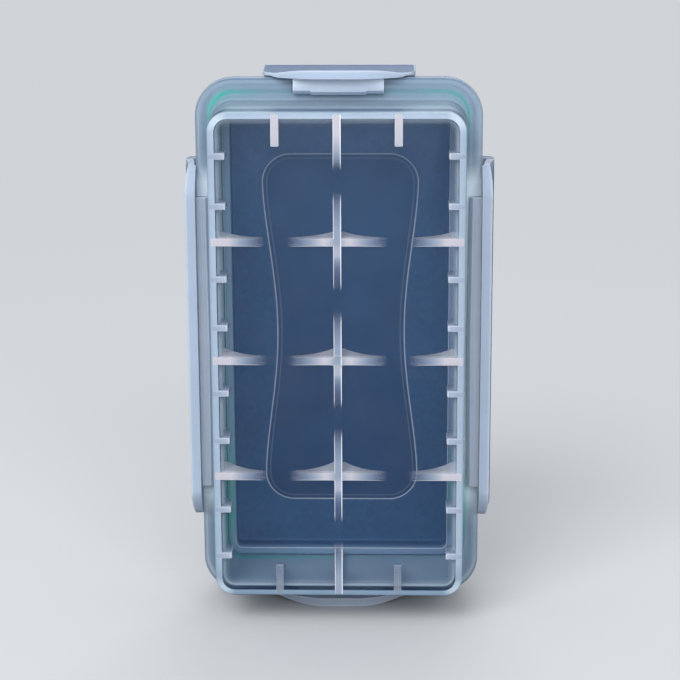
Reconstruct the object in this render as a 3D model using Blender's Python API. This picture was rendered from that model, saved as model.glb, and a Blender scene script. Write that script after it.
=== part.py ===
"""Battery case of milky see-through plastic, closed and standing on one short end.

A base tray with cradle ribs faces -Y. A lid with a dog-bone panel closes it from +Y over a
rubber gasket. Four latch wings hang on film hinges at the lid's edge and hook over the base's
flange. X is across the case, Z along it, and Y is depth from the tray's floor to the lid.
"""
import math

import bmesh
import bpy
from mathutils import Matrix, Vector

# Clearance between neighbouring pieces
GAP = 0.0003

# Cell layout: two columns of four short cells, or of two long ones
CELL_PITCH = 0.0195
COLUMNS = 2
ROWS = 4
SIDE_TRIM = 0.0002

# Base tray
WALL = 0.00115
FLOOR = 0.0012
TRAY_DEPTH = 0.0186
TRAY_CORNER = 0.0032
TRAY_EDGE = 0.0006
TRAY_DRAFT = 0.025
RIM_EDGE = 0.00015

# Flange round the tray's wall
FLANGE_FRONT = 0.0127
FLANGE_THICK = 0.0014
FLANGE_SIDE = 0.0030
FLANGE_END = 0.00405
FLANGE_CORNER = 0.0062
FLANGE_EDGE = 0.00025

# Cradle ribs
RIB_THICK = 0.0013
RIB_DRAFT = 0.022
RIB_CUSP = 0.0054
RIB_SINK = 0.00016
END_RIB_OUT = 0.0011

# Stops for the cells' ends and sides
STOP_REACH = 0.0042
STOP_TOP_REACH = 0.0004
STOP_TALL = 0.0093
TAB_REACH = 0.00165
TAB_THICK = 0.0011
TAB_TALL = 0.0028
TAB_HALF_SPACING = 0.0040
TAB_SHIFT = 0.0003

# Lid
LID_INSET = 0.00045
LID_DRAFT = 0.03
SKIRT_WALL = 0.00095
PANEL = 0.0012
LID_EDGE = 0.0011
PLUG_WALL = 0.0010
PLUG_REACH = 0.0018

# Dog-bone panel sunk into the lid's outer face
BONE_LENGTH = 0.0611
BONE_WIDTH = 0.0266
BONE_WAIST = 0.0220
BONE_CORNER = 0.0050
BONE_SINK = 0.0003
BONE_SLOPE = 0.0007
BONE_EASE = 0.8
BONE_STEPS = 24

# Gasket
GASKET_THICK = 0.0013
GASKET_OUT = 0.00025
GASKET_ROUND = 0.0004

# Latches
END_LATCH = 0.0246
SIDE_LATCH = 0.0602
END_OUT = 0.0015
SIDE_TIP_OUT = 0.0016
SIDE_HINGE_OUT = 0.00225
LATCH_THICK = 0.0013
LATCH_TIP = 0.0037
LIP_IN = 0.00025
DIP_BACK = 0.0034
END_DIP = 0.0007
SIDE_DIP = 0.0004
CLIMB_POWER = 1.5
END_CORNER_LONG = 0.0093
END_CORNER_BACK = 0.0045
SIDE_CORNER_LONG = 0.0050
SIDE_CORNER_BACK = 0.0028
CORNER_POWER = 1.7
CORNER_ROUND = 0.0010
HINGE_BEHIND = 0.0040
LEDGE_THICK = 0.0014
LEDGE_SLOPE = 0.0010
LEDGE_END = 0.0006
END_HOOK_REACH = 0.0025
SIDE_HOOK_REACH = 0.0021
HOOK_THICK = 0.0014
HOOK_CHAMFER = 0.0006
END_HOOK = 0.0147
SIDE_HOOK = 0.0496
END_PAD = 0.0089
PAD_OUT = 0.0002

# Sizes that follow from those above
IN_X = COLUMNS * CELL_PITCH / 2 - SIDE_TRIM
IN_Z = ROWS * CELL_PITCH / 2
OUT_X = IN_X + WALL
OUT_Z = IN_Z + WALL
FLANGE_X = OUT_X + FLANGE_SIDE
FLANGE_Z = OUT_Z + FLANGE_END
FLANGE_BACK = FLANGE_FRONT + FLANGE_THICK
SKIRT_FRONT = FLANGE_BACK + GAP
PLUG_FRONT = TRAY_DEPTH - PLUG_REACH
STOP_BACK = PLUG_FRONT - GAP
GASKET_FRONT = TRAY_DEPTH + GAP
LID_IN = GASKET_FRONT + GASKET_THICK + GAP
LID_OUT = LID_IN + PANEL
LID_X = FLANGE_X - LID_INSET
LID_Z = FLANGE_Z - LID_INSET
LID_CORNER = FLANGE_CORNER - LID_INSET
GASKET_IN = IN_X + TRAY_DRAFT * PLUG_FRONT
CHANNEL_OUT = LID_X - LID_DRAFT * (LID_IN - SKIRT_FRONT) - SKIRT_WALL
GASKET_WIDTH = CHANNEL_OUT - GAP - GASKET_IN
HINGE_DEPTH = SKIRT_FRONT + HINGE_BEHIND
TIP_DEPTH = FLANGE_FRONT - LATCH_TIP
TOP = FLANGE_Z + END_OUT
MID_DEPTH = LID_OUT / 2

# Points on arcs, round corners and round edges
ARC_STEPS = 14
CORNER_STEPS = 9
TRAY_EDGE_STEPS = 2
LID_EDGE_STEPS = 3

# Shares of a latch's depth, from its hinge to its lip, and of its corner's length
LATCH_ROWS = (1.0, 0.8, 0.6, 0.45, 0.34, 0.25, 0.17, 0.1, 0.04)
CORNER_SHARES = (0.0, 0.15, 0.3, 0.45, 0.6, 0.75)
ROUND_TURNS = (0, 30, 60, 90)

PLASTIC = (0.80, 0.87, 0.93, 1.0)
RUBBER = (0.02, 0.42, 0.33, 1.0)


def clear_scene():
    """Remove everything that the new file holds."""
    for obj in list(bpy.data.objects):
        bpy.data.objects.remove(obj, do_unlink=True)


def material(name, colour, roughness, alpha):
    """Make a Principled material."""
    mat = bpy.data.materials.new(name)
    mat.use_nodes = True
    shader = mat.node_tree.nodes["Principled BSDF"]
    shader.inputs["Base Color"].default_value = colour
    shader.inputs["Roughness"].default_value = roughness
    shader.inputs["Alpha"].default_value = alpha
    mat.diffuse_color = colour
    return mat


def world(x, depth, z):
    """Turn case coordinates into the part's frame, on the ground and centred in depth."""
    return Vector((x, depth - MID_DEPTH, z + TOP))


def world_along(z, depth, x):
    """Do the same for an outline that runs along the case."""
    return world(x, depth, z)


def new_object(name, verts, faces, mat):
    """Make a mesh object with outward faces."""
    mesh = bpy.data.meshes.new(name)
    mesh.from_pydata([tuple(v) for v in verts], [], faces)
    bm = bmesh.new()
    bm.from_mesh(mesh)
    bmesh.ops.recalc_face_normals(bm, faces=bm.faces)
    bm.to_mesh(mesh)
    bm.free()
    mesh.materials.append(mat)
    obj = bpy.data.objects.new(name, mesh)
    bpy.context.scene.collection.objects.link(obj)
    return obj


def rounded(half_x, half_z, radius):
    """List the corners of a rectangle with rounded corners, as (x, z)."""
    points = []
    for sx, sz, start in ((1, 1, 0), (-1, 1, 90), (-1, -1, 180), (1, -1, 270)):
        for step in range(CORNER_STEPS + 1):
            turn = math.radians(start + 90 * step / CORNER_STEPS)
            points.append((sx * (half_x - radius) + radius * math.cos(turn),
                           sz * (half_z - radius) + radius * math.sin(turn)))
    return points


def loft(name, loops, mat, ring=False):
    """Skin loops of (depth, half_x, half_z, radius), capped at both ends or joined in a ring."""
    verts = []
    for depth, half_x, half_z, radius in loops:
        verts += [world(x, depth, z) for x, z in rounded(half_x, half_z, radius)]
    count = 4 * (CORNER_STEPS + 1)
    faces = []
    pairs = len(loops) if ring else len(loops) - 1
    for row in range(pairs):
        low = row * count
        high = ((row + 1) % len(loops)) * count
        for i in range(count):
            j = (i + 1) % count
            faces.append((low + i, low + j, high + j, high + i))
    if not ring:
        faces.append(tuple(range(count)))
        faces.append(tuple(range((len(loops) - 1) * count, len(loops) * count)))
    return new_object(name, verts, faces, mat)


def prism(name, outline, middle, thick, place, mat, draft=0.0):
    """Thicken an outline of (a, depth) about a middle, thinner with depth where it has draft."""
    count = len(outline)
    verts = []
    for side in (-1, 1):
        for a, depth in outline:
            half = thick / 2 - draft * (depth - FLOOR)
            verts.append(place(a, depth, middle + side * half))
    faces = [tuple(range(count)), tuple(range(count, 2 * count))]
    for i in range(count):
        j = (i + 1) % count
        faces.append((i, j, count + j, count + i))
    return new_object(name, verts, faces, mat)


def combine(obj, others, operation):
    """Join or cut an object with others, and remove them."""
    for other in others:
        mod = obj.modifiers.new("join", "BOOLEAN")
        mod.operation = operation
        mod.solver = "EXACT"
        mod.object = other
    graph = bpy.context.evaluated_depsgraph_get()
    mesh = bpy.data.meshes.new_from_object(obj.evaluated_get(graph))
    obj.modifiers.clear()
    obj.data = mesh
    for other in others:
        bpy.data.objects.remove(other, do_unlink=True)


def finish(obj, origin):
    """Weld stray points, smooth the round faces and put the origin where the joint needs it."""
    bm = bmesh.new()
    bm.from_mesh(obj.data)
    bmesh.ops.remove_doubles(bm, verts=bm.verts, dist=0.000002)
    bmesh.ops.dissolve_degenerate(bm, edges=bm.edges, dist=0.000002)
    bmesh.ops.triangulate(bm, faces=bm.faces)
    bm.to_mesh(obj.data)
    bm.free()
    obj.data.transform(Matrix.Translation(-origin))
    obj.location = origin
    obj.data.shade_smooth()
    obj.data.set_sharp_from_angle(angle=math.radians(32))


def round_edge(radius, steps):
    """List a rounded edge as (distance from the face, inset), from the face to the side."""
    turns = [math.radians(90 * step / steps) for step in range(steps + 1)]
    return [(radius * (1 - math.sin(turn)), radius * (1 - math.cos(turn)))
            for turn in reversed(turns)]


def tray_loop(depth, inset):
    """One loop of the tray's drafted wall, inset from its outer face."""
    out = TRAY_DRAFT * depth - inset
    return (depth, OUT_X + out, OUT_Z + out, TRAY_CORNER + out)


def flange_loop(depth, inset):
    """One loop of the flange's edge."""
    return (depth, FLANGE_X - inset, FLANGE_Z - inset, FLANGE_CORNER - inset)


def scallop(span, cells, end_height):
    """List the top of a cradle rib along its span, as (position, height above the floor)."""
    radius = CELL_PITCH / 2
    top = []
    for cell in range(cells):
        middle = (cell - (cells - 1) / 2) * CELL_PITCH
        for step in range(ARC_STEPS + 1):
            turn = math.pi * (step / ARC_STEPS - 0.5)
            height = radius - RIB_SINK - radius * math.cos(turn)
            along = middle + radius * math.sin(turn)
            limit = end_height if abs(along) > span - radius else RIB_CUSP
            if height <= limit:
                top.append((along, height))
            else:
                reach = math.sqrt(radius ** 2 - (radius - RIB_SINK - limit) ** 2)
                top.append((middle + math.copysign(reach, along - middle), limit))
    clean = []
    for point in top:
        if not clean or point[0] - clean[-1][0] > 0.00001:
            clean.append(point)
    return clean


def cross_rib(z, mat):
    """A rib across the tray, scalloped for one cell in each column."""
    top = scallop(IN_X, COLUMNS, RIB_CUSP)
    end = IN_X + WALL / 2
    outline = [(-end, FLOOR / 2), (-end, FLOOR + RIB_CUSP)]
    outline += [(a, FLOOR + h) for a, h in top]
    outline += [(end, FLOOR + RIB_CUSP), (end, FLOOR / 2)]
    return prism("rib", outline, z, RIB_THICK, world, mat, RIB_DRAFT)


def long_rib(mat):
    """The rib along the middle, which climbs both end walls."""
    top = scallop(IN_Z, ROWS, CELL_PITCH / 2 - RIB_SINK)
    end = IN_Z + WALL / 2
    shoulder = IN_Z - END_RIB_OUT
    inner = [(a, FLOOR + h - GAP / 4) for a, h in top if abs(a) < shoulder]
    outline = [(-end, FLOOR / 2), (-end, STOP_BACK), (-shoulder, STOP_BACK)]
    outline += inner
    outline += [(shoulder, STOP_BACK), (end, STOP_BACK), (end, FLOOR / 2)]
    return prism("rib", outline, 0.0, RIB_THICK, world_along, mat, RIB_DRAFT)


def end_stop(x, side, mat):
    """A tapered stop on an end wall, which holds a cell by its end."""
    root = side * (IN_Z + WALL / 2)
    outline = [(root, FLOOR / 2),
               (side * (IN_Z - STOP_REACH), FLOOR / 2),
               (side * (IN_Z - STOP_REACH), FLOOR + RIB_THICK / 2),
               (side * (IN_Z - STOP_TOP_REACH), FLOOR + STOP_TALL),
               (root, FLOOR + STOP_TALL + STOP_TOP_REACH)]
    return prism("stop", outline, x, RIB_THICK, world_along, mat, RIB_DRAFT)


def side_tab(z, side, mat):
    """A small tab on a side wall, which holds a short cell square."""
    root = side * (IN_X + WALL / 2)
    outline = [(root, FLOOR / 2),
               (side * (IN_X - TAB_REACH), FLOOR / 2),
               (side * (IN_X - TAB_REACH), FLOOR + TAB_TALL),
               (root, FLOOR + TAB_TALL + TAB_REACH)]
    return prism("tab", outline, z, TAB_THICK, world, mat, RIB_DRAFT)


def build_tray(mat):
    """The base tray: floor, drafted wall, flange, cradle ribs, stops and tabs."""
    loops = [tray_loop(depth, inset) for depth, inset in round_edge(TRAY_EDGE, TRAY_EDGE_STEPS)]
    loops += [tray_loop(FLANGE_FRONT, 0),
              flange_loop(FLANGE_FRONT, FLANGE_EDGE),
              flange_loop(FLANGE_FRONT + FLANGE_EDGE, 0),
              flange_loop(FLANGE_BACK - FLANGE_EDGE, 0),
              flange_loop(FLANGE_BACK, FLANGE_EDGE),
              tray_loop(FLANGE_BACK, 0),
              tray_loop(TRAY_DEPTH - RIM_EDGE, 0),
              tray_loop(TRAY_DEPTH, RIM_EDGE),
              tray_loop(TRAY_DEPTH, WALL - RIM_EDGE),
              tray_loop(TRAY_DEPTH - RIM_EDGE, WALL),
              tray_loop(FLOOR + TRAY_EDGE, WALL),
              tray_loop(FLOOR, WALL + TRAY_EDGE)]
    tray = loft("base_tray", loops, mat)
    adds = [long_rib(mat)]
    for row in range(1, ROWS):
        adds.append(cross_rib((row - ROWS / 2) * CELL_PITCH, mat))
    for column in range(COLUMNS):
        x = (column - (COLUMNS - 1) / 2) * CELL_PITCH
        adds += [end_stop(x, -1, mat), end_stop(x, 1, mat)]
    for row in range(ROWS):
        middle = (row - (ROWS - 1) / 2) * CELL_PITCH
        shift = TAB_SHIFT if abs(middle) < CELL_PITCH else 0.0
        centre = middle - math.copysign(shift, middle)
        for side in (-1, 1):
            adds.append(side_tab(centre - TAB_HALF_SPACING, side, mat))
            adds.append(side_tab(centre + TAB_HALF_SPACING, side, mat))
    combine(tray, adds, "UNION")
    finish(tray, world(0, 0, 0))
    return tray


def lid_loop(depth, inset):
    """One loop of the lid's outer shape, drafted in toward its outer face."""
    inset += LID_DRAFT * (depth - SKIRT_FRONT)
    return (depth, LID_X - inset, LID_Z - inset, LID_CORNER - inset)


def plug_loop(depth, inset):
    """One loop of the lip that plugs into the tray's mouth."""
    out = TRAY_DRAFT * PLUG_FRONT - GAP - inset
    return (depth, IN_X + out, IN_Z + out, TRAY_CORNER - WALL + out)


def bone_outline(inset):
    """List the dog-bone's outline as (x, z), with waisted long sides."""
    half_x = BONE_WIDTH / 2 - inset
    half_z = BONE_LENGTH / 2 - inset
    radius = BONE_CORNER - inset
    waist = (BONE_WIDTH - BONE_WAIST) / 2
    straight = half_z - radius
    right = []
    for step in range(BONE_STEPS + 1):
        z = straight * (2 * step / BONE_STEPS - 1)
        dip = waist * ((1 + math.cos(math.pi * z / straight)) / 2) ** BONE_EASE
        right.append((half_x - dip, z))
    corner = []
    for step in range(1, CORNER_STEPS):
        turn = math.radians(90 * step / CORNER_STEPS)
        corner.append((half_x - radius + radius * math.cos(turn), straight + radius * math.sin(turn)))
    quarter = corner + [(half_x - radius, half_z)]
    outline = right + quarter
    outline += [(-x, z) for x, z in reversed(quarter)]
    outline += [(-x, z) for x, z in reversed(right)]
    outline += [(-x, -z) for x, z in quarter]
    outline += [(x, -z) for x, z in reversed(quarter)]
    return outline


def bone_cutter(mat):
    """The block that sinks the dog-bone panel into the lid's face, with a sloped edge."""
    low = [world(x, LID_OUT - BONE_SINK, z) for x, z in bone_outline(BONE_SLOPE)]
    mid = [world(x, LID_OUT, z) for x, z in bone_outline(0)]
    high = [world(x, LID_OUT + PANEL, z) for x, z in bone_outline(0)]
    count = len(low)
    faces = [tuple(range(count)), tuple(range(2 * count, 3 * count))]
    for row in range(2):
        for i in range(count):
            j = (i + 1) % count
            faces.append((row * count + i, row * count + j,
                          (row + 1) * count + j, (row + 1) * count + i))
    return new_object("bone", low + mid + high, faces, mat)


def around(turn, along, depth, out):
    """Place a point of an edge fitting: top at 0 degrees, then right, bottom and left."""
    c = math.cos(turn)
    s = math.sin(turn)
    return world(along * c + out * s, depth, -along * s + out * c)


class Edge:
    """Sizes of the fittings on one edge of the case, at a turn about Y from the top."""

    def __init__(self, turn):
        at_end = abs(math.cos(turn)) > 0.5
        self.turn = turn
        self.reach = FLANGE_Z if at_end else FLANGE_X
        self.half = (END_LATCH if at_end else SIDE_LATCH) / 2
        self.hook = END_HOOK if at_end else SIDE_HOOK
        self.hook_reach = END_HOOK_REACH if at_end else SIDE_HOOK_REACH
        self.tip_out = END_OUT if at_end else SIDE_TIP_OUT
        self.hinge_out = END_OUT if at_end else SIDE_HINGE_OUT
        self.dip = END_DIP if at_end else SIDE_DIP
        self.corner_long = END_CORNER_LONG if at_end else SIDE_CORNER_LONG
        self.corner_back = END_CORNER_BACK if at_end else SIDE_CORNER_BACK
        self.noses = [(self.hook, 0.0)] + ([(END_PAD, PAD_OUT)] if at_end else [])

    def outer(self, depth):
        """How far the latch stands off the flange: flared lip, dip, then up to the hinge."""
        lowest = TIP_DEPTH + DIP_BACK
        if depth < lowest:
            part = (depth - TIP_DEPTH) / DIP_BACK
            return self.tip_out - self.dip * part ** 2 * (3 - 2 * part)
        part = (depth - lowest) / (HINGE_DEPTH - lowest)
        climb = self.hinge_out - self.tip_out + self.dip
        return self.hinge_out - climb * (1 - part ** CLIMB_POWER)

    def inner(self, depth):
        """How far the latch's inner face stands off the flange."""
        return max(GAP, self.outer(depth) - LATCH_THICK)

    def back(self, along):
        """How far the free edge curves back toward its ends, with a small round at each end."""
        part = max(0.0, (abs(along) - self.half + self.corner_long) / self.corner_long)
        over = max(0.0, (abs(along) - self.half + CORNER_ROUND) / CORNER_ROUND)
        rounding = CORNER_ROUND * (1 - math.sqrt(max(0.0, 1 - over ** 2)))
        return self.corner_back * part ** CORNER_POWER + rounding

    def stations(self):
        """List the positions along the latch where its section is drawn."""
        parts = [self.half - self.corner_long * (1 - share) for share in CORNER_SHARES]
        parts = [part for part in parts if part < self.half - CORNER_ROUND]
        parts += [self.half - CORNER_ROUND * (1 - math.sin(math.radians(turn)))
                  for turn in ROUND_TURNS]
        return sorted([-part for part in parts] + [0.0] + parts)


def ledge(edge, mat):
    """The ledge on the lid's skirt that carries a latch's film hinge."""
    inner = edge.reach - LID_INSET - SKIRT_WALL / 2
    outer = edge.reach + edge.hinge_out
    front = HINGE_DEPTH + GAP / 2
    back = front + LEDGE_THICK
    section = [(inner, front), (outer, front), (outer, back), (inner, back + LEDGE_SLOPE)]
    verts = []
    for side in (-1, 1):
        for out, depth in section:
            cut = LEDGE_END if out == outer else 0.0
            verts.append(around(edge.turn, side * (edge.half - cut), depth, out))
    faces = [(0, 1, 2, 3), (4, 5, 6, 7)]
    for i in range(4):
        j = (i + 1) % 4
        faces.append((i, j, 4 + j, 4 + i))
    return new_object("ledge", verts, faces, mat)


def build_lid(mat):
    """The lid: panel, skirt, plugging lip, hinge ledges and the sunk dog-bone."""
    loops = [lid_loop(LID_OUT - depth, inset) for depth, inset in round_edge(LID_EDGE, LID_EDGE_STEPS)]
    loops += [lid_loop(SKIRT_FRONT + RIM_EDGE, 0),
              lid_loop(SKIRT_FRONT, RIM_EDGE),
              lid_loop(SKIRT_FRONT, SKIRT_WALL),
              lid_loop(LID_IN, SKIRT_WALL),
              plug_loop(LID_IN, 0),
              plug_loop(PLUG_FRONT + RIM_EDGE, 0),
              plug_loop(PLUG_FRONT, RIM_EDGE),
              plug_loop(PLUG_FRONT, PLUG_WALL),
              plug_loop(LID_IN, PLUG_WALL)]
    lid = loft("lid_cover", loops, mat)
    combine(lid, [ledge(Edge(math.radians(90 * side)), mat) for side in range(4)], "UNION")
    combine(lid, [bone_cutter(mat)], "DIFFERENCE")
    finish(lid, world(0, LID_IN, 0))
    return lid


def build_gasket(mat):
    """The rubber gasket in the lid's channel, over the tray's rim."""
    low_x = GASKET_IN
    low_z = GASKET_IN + IN_Z - IN_X + GASKET_OUT
    corner = TRAY_CORNER - WALL + TRAY_DRAFT * PLUG_FRONT
    front = GASKET_FRONT
    back = GASKET_FRONT + GASKET_THICK
    r = GASKET_ROUND
    section = [(front, r), (front, GASKET_WIDTH - r), (front + r, GASKET_WIDTH),
               (back - r, GASKET_WIDTH), (back, GASKET_WIDTH - r), (back, r),
               (back - r, 0), (front + r, 0)]
    loops = [(depth, low_x + out, low_z + out, corner + out) for depth, out in section]
    gasket = loft("gasket_seal", loops, mat, ring=True)
    finish(gasket, world(0, front, 0))
    return gasket


def nose(edge, length, more, mat):
    """A chamfered bar that hooks in front of the flange, longer in reach by more."""
    inner = edge.reach - edge.hook_reach - more
    back = FLANGE_FRONT - GAP
    near = back - HOOK_THICK
    root = edge.reach + edge.tip_out / 2
    outline = [(root, near), (root, back), (inner, back),
               (inner, near + HOOK_CHAMFER), (inner + HOOK_CHAMFER, near)]

    def place(out, depth, along):
        return around(edge.turn, along, depth, out)

    return prism("hook", outline, 0.0, length, place, mat)


def build_latch(name, edge, mat):
    """One latch wing with its flared lip and hook, hinged at the lid's ledge."""
    reach = edge.reach
    end = HINGE_DEPTH - GAP / 2
    step_back = FLANGE_FRONT - GAP
    stations = edge.stations()
    verts = []
    for along in stations:
        tip = TIP_DEPTH + edge.back(along)
        row = []
        for part in LATCH_ROWS:
            depth = tip + (end - tip) * part
            row.append((depth, reach + edge.outer(depth)))
        row.append((tip, reach + edge.outer(tip) - GAP / 2))
        row.append((tip, reach + GAP - LIP_IN / 2))
        row.append((tip + GAP / 2, reach + GAP - LIP_IN))
        row.append((max(step_back, tip + GAP), reach + GAP - LIP_IN))
        row.append((max(step_back, tip + GAP) + LIP_IN, reach + GAP))
        row.append((FLANGE_BACK, reach + edge.inner(FLANGE_BACK)))
        row.append(((FLANGE_BACK + end) / 2, reach + edge.inner((FLANGE_BACK + end) / 2)))
        row.append((end, reach + edge.inner(end)))
        verts += [around(edge.turn, along, depth, out) for depth, out in row]
    count = len(row)
    faces = [tuple(range(count)), tuple(range((len(stations) - 1) * count, len(stations) * count))]
    for step in range(len(stations) - 1):
        low = step * count
        high = low + count
        for i in range(count):
            j = (i + 1) % count
            faces.append((low + i, low + j, high + j, high + i))
    latch = new_object(name, verts, faces, mat)
    combine(latch, [nose(edge, length, more, mat) for length, more in edge.noses], "UNION")
    finish(latch, around(edge.turn, 0, HINGE_DEPTH, reach + edge.hinge_out))
    return latch


def main():
    """Build every piece."""
    clear_scene()
    clear_plastic = material("clear_milky_plastic", PLASTIC, 0.25, 0.45)
    rubber = material("green_rubber", RUBBER, 0.6, 1.0)
    build_tray(clear_plastic)
    build_lid(clear_plastic)
    build_gasket(rubber)
    for name, angle in (("latch_top", 0), ("latch_right", 90), ("latch_bottom", 180),
                        ("latch_left", 270)):
        build_latch(name, Edge(math.radians(angle)), clear_plastic)


main()
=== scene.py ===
"""Dress the battery case: its moulded shells, ribs, latches, film hinges and gasket.

Lengths are in metres. Case coordinates are x across the case, depth from the tray's outer face to
the lid's, and z along the case from its centre. Every shape is a sheet of points worked out as
whole arrays, and each point carries its skin: how milky the plastic looks there, how much body it
has, how much painted edge highlight it has, how frosted its surface is, and how much of the seal's
painted green glow shows in it. At places the milkiness carries painted light and shade too.
"""
import logging
import math
from dataclasses import dataclass
from enum import Enum
from typing import Callable, Iterable, NamedTuple, Sequence

import bmesh
import bpy
import numpy as np
from mathutils import Matrix, Vector

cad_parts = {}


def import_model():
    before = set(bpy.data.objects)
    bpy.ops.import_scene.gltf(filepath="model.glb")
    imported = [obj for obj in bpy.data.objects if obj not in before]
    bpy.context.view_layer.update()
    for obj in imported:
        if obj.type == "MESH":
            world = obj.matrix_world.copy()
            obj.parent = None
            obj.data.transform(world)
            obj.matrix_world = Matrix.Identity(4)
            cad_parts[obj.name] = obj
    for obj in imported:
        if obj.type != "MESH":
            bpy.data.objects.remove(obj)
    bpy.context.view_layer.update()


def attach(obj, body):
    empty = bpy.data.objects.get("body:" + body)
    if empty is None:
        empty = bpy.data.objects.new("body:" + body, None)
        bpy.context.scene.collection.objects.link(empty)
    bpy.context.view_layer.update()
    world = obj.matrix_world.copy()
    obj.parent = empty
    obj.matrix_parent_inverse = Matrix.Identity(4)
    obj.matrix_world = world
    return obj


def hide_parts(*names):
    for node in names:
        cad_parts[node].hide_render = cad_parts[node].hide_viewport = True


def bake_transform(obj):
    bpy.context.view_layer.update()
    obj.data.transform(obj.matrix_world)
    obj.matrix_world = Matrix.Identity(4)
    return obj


Array = np.ndarray
Colour = tuple[float, float, float]
Place = tuple[float, float, float]
LOG = logging.getLogger("battery_case")


class Skin(NamedTuple):
    """How a point looks: milk, body (its alpha), painted edge light, frost and painted seal glow.
    """

    milk: float
    body: float
    edge: float = 0.0
    frost: float = 0.2
    seal: float = 0.0


MILK_AT, EDGE_AT = (Skin._fields.index(word) - len(Skin._fields) for word in ("milk", "edge"))


@dataclass(frozen=True)
class CaseSizes:
    """Sizes that more than one piece needs."""

    gap: float = 0.0003
    pitch: float = 0.0195
    columns: int = 2
    rows: int = 4
    side_trim: float = 0.0002
    wall: float = 0.00115
    floor: float = 0.0012
    tray_depth: float = 0.0186
    tray_corner: float = 0.0032
    draft: float = 0.025
    flange_front: float = 0.0127
    flange_thick: float = 0.0014
    flange_side: float = 0.0030
    flange_end: float = 0.00405
    flange_corner: float = 0.0062
    plug_reach: float = 0.0018
    gasket_thick: float = 0.0013
    panel: float = 0.0012
    skirt_wall: float = 0.00095
    lid_inset: float = 0.00045
    lid_draft: float = 0.03
    hinge_behind: float = 0.0040
    end_out: float = 0.0015

    @property
    def in_x(self) -> float:
        """Half the width inside the tray at its floor."""
        return self.columns * self.pitch / 2 - self.side_trim

    @property
    def in_z(self) -> float:
        """Half the length inside the tray at its floor."""
        return self.rows * self.pitch / 2

    @property
    def flange_x(self) -> float:
        """Half the width of the flange."""
        return self.in_x + self.wall + self.flange_side

    @property
    def flange_z(self) -> float:
        """Half the length of the flange."""
        return self.in_z + self.wall + self.flange_end

    @property
    def flange_back(self) -> float:
        """Depth of the flange's face toward the lid."""
        return self.flange_front + self.flange_thick

    @property
    def skirt_front(self) -> float:
        """Depth of the lid skirt's free edge."""
        return self.flange_back + self.gap

    @property
    def hook_depth(self) -> float:
        """Depth of the hooks' faces toward the flange."""
        return self.flange_front - self.gap

    @property
    def plug_front(self) -> float:
        """Depth that the lid's inner lip reaches."""
        return self.tray_depth - self.plug_reach

    @property
    def mouth(self) -> float:
        """How far the draft has opened the tray's inside at the plug's lip."""
        return self.draft * self.plug_front

    @property
    def gasket_front(self) -> float:
        """Depth of the gasket's face toward the tray's rim."""
        return self.tray_depth + self.gap

    @property
    def lid_in(self) -> float:
        """Depth of the lid's inner face."""
        return self.gasket_front + self.gasket_thick + self.gap

    @property
    def lid_out(self) -> float:
        """Depth of the lid's outer face."""
        return self.lid_in + self.panel

    @property
    def hinge_depth(self) -> float:
        """Depth of the latches' hinge lines."""
        return self.skirt_front + self.hinge_behind

    @property
    def centre_height(self) -> float:
        """Height of the case's centre over the surface it stands on."""
        return self.flange_z + self.end_out

    def place(self, x: Array, depth: Array, z: Array) -> Array:
        """Turn case coordinates into the frame's.

        Args:
            x: distances across the case.
            depth: distances from the tray's outer face.
            z: distances along the case from its centre.

        Returns:
            Points of the frame, with their three numbers along the last axis.
        """
        x, depth, z = np.broadcast_arrays(x, depth, z)
        return np.stack([x, depth - self.lid_out / 2, z + self.centre_height], axis=-1)

    def unplace(self, points: Array) -> tuple[Array, Array, Array]:
        """Turn points of the frame back into x, depth and z."""
        x, y, height = np.moveaxis(points, -1, 0)
        return x, y + self.lid_out / 2, height - self.centre_height


CASE = CaseSizes()


class Edge(Enum):
    """The case's four edges, by how far each is turned about Y from the top."""

    TOP = 0
    RIGHT = 90
    BOTTOM = 180
    LEFT = 270

    @property
    def at_end(self) -> bool:
        """True for the two short edges."""
        return self in (Edge.TOP, Edge.BOTTOM)

    @property
    def reach(self) -> float:
        """How far the flange stands from the case's centre on this edge."""
        return CASE.flange_z if self.at_end else CASE.flange_x

    def place(self, along: Array, depth: Array, out: Array) -> Array:
        """Place points that are given along the edge, by depth and by distance from the centre.

        Args:
            along: distances along the edge from its middle.
            depth: distances from the tray's outer face.
            out: distances out from the case's centre.

        Returns:
            Points of the frame.
        """
        turn = math.radians(self.value)
        x = along * math.cos(turn) + out * math.sin(turn)
        z = -along * math.sin(turn) + out * math.cos(turn)
        return CASE.place(x, depth, z)


@dataclass
class Sheet:
    """A grid of points whose columns close on themselves, with the skin at each point.

    places has the shape (rows, columns, 3) and look the shape (rows, columns, 5). The rows join in
    a ring, or end in flat caps. bend says how deep in a corner each column of a frame lies, 0 to 1.
    """

    places: Array
    look: Array
    ring: bool = False
    bend: Array | None = None

    def faces(self, start: int) -> list[tuple[int, ...]]:
        """List the sheet's faces.

        Args:
            start: the index of the sheet's first point in its mesh.

        Returns:
            A quad between each pair of neighbours on both axes, then the two caps.
        """
        rows, columns = self.places.shape[:2]
        index = np.arange(rows * columns).reshape(rows, columns) + start
        if self.ring:
            index = np.vstack([index, index[:1]])
        right = np.roll(index, -1, axis=1)
        quads = np.stack([index[:-1], right[:-1], right[1:], index[1:]], axis=-1).reshape(-1, 4)
        caps = [] if self.ring else [tuple(index[0].tolist()), tuple(index[-1].tolist())]
        return [tuple(quad) for quad in quads.tolist()] + caps


CORNER_STEPS, SIDE_STEPS, END_STEPS = 14, 28, 6
MOST_SHARE = 0.48
TINY = 1e-9
MERGE_WITHIN = 0.0000005
SHARP_ANGLE = 38


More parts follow.
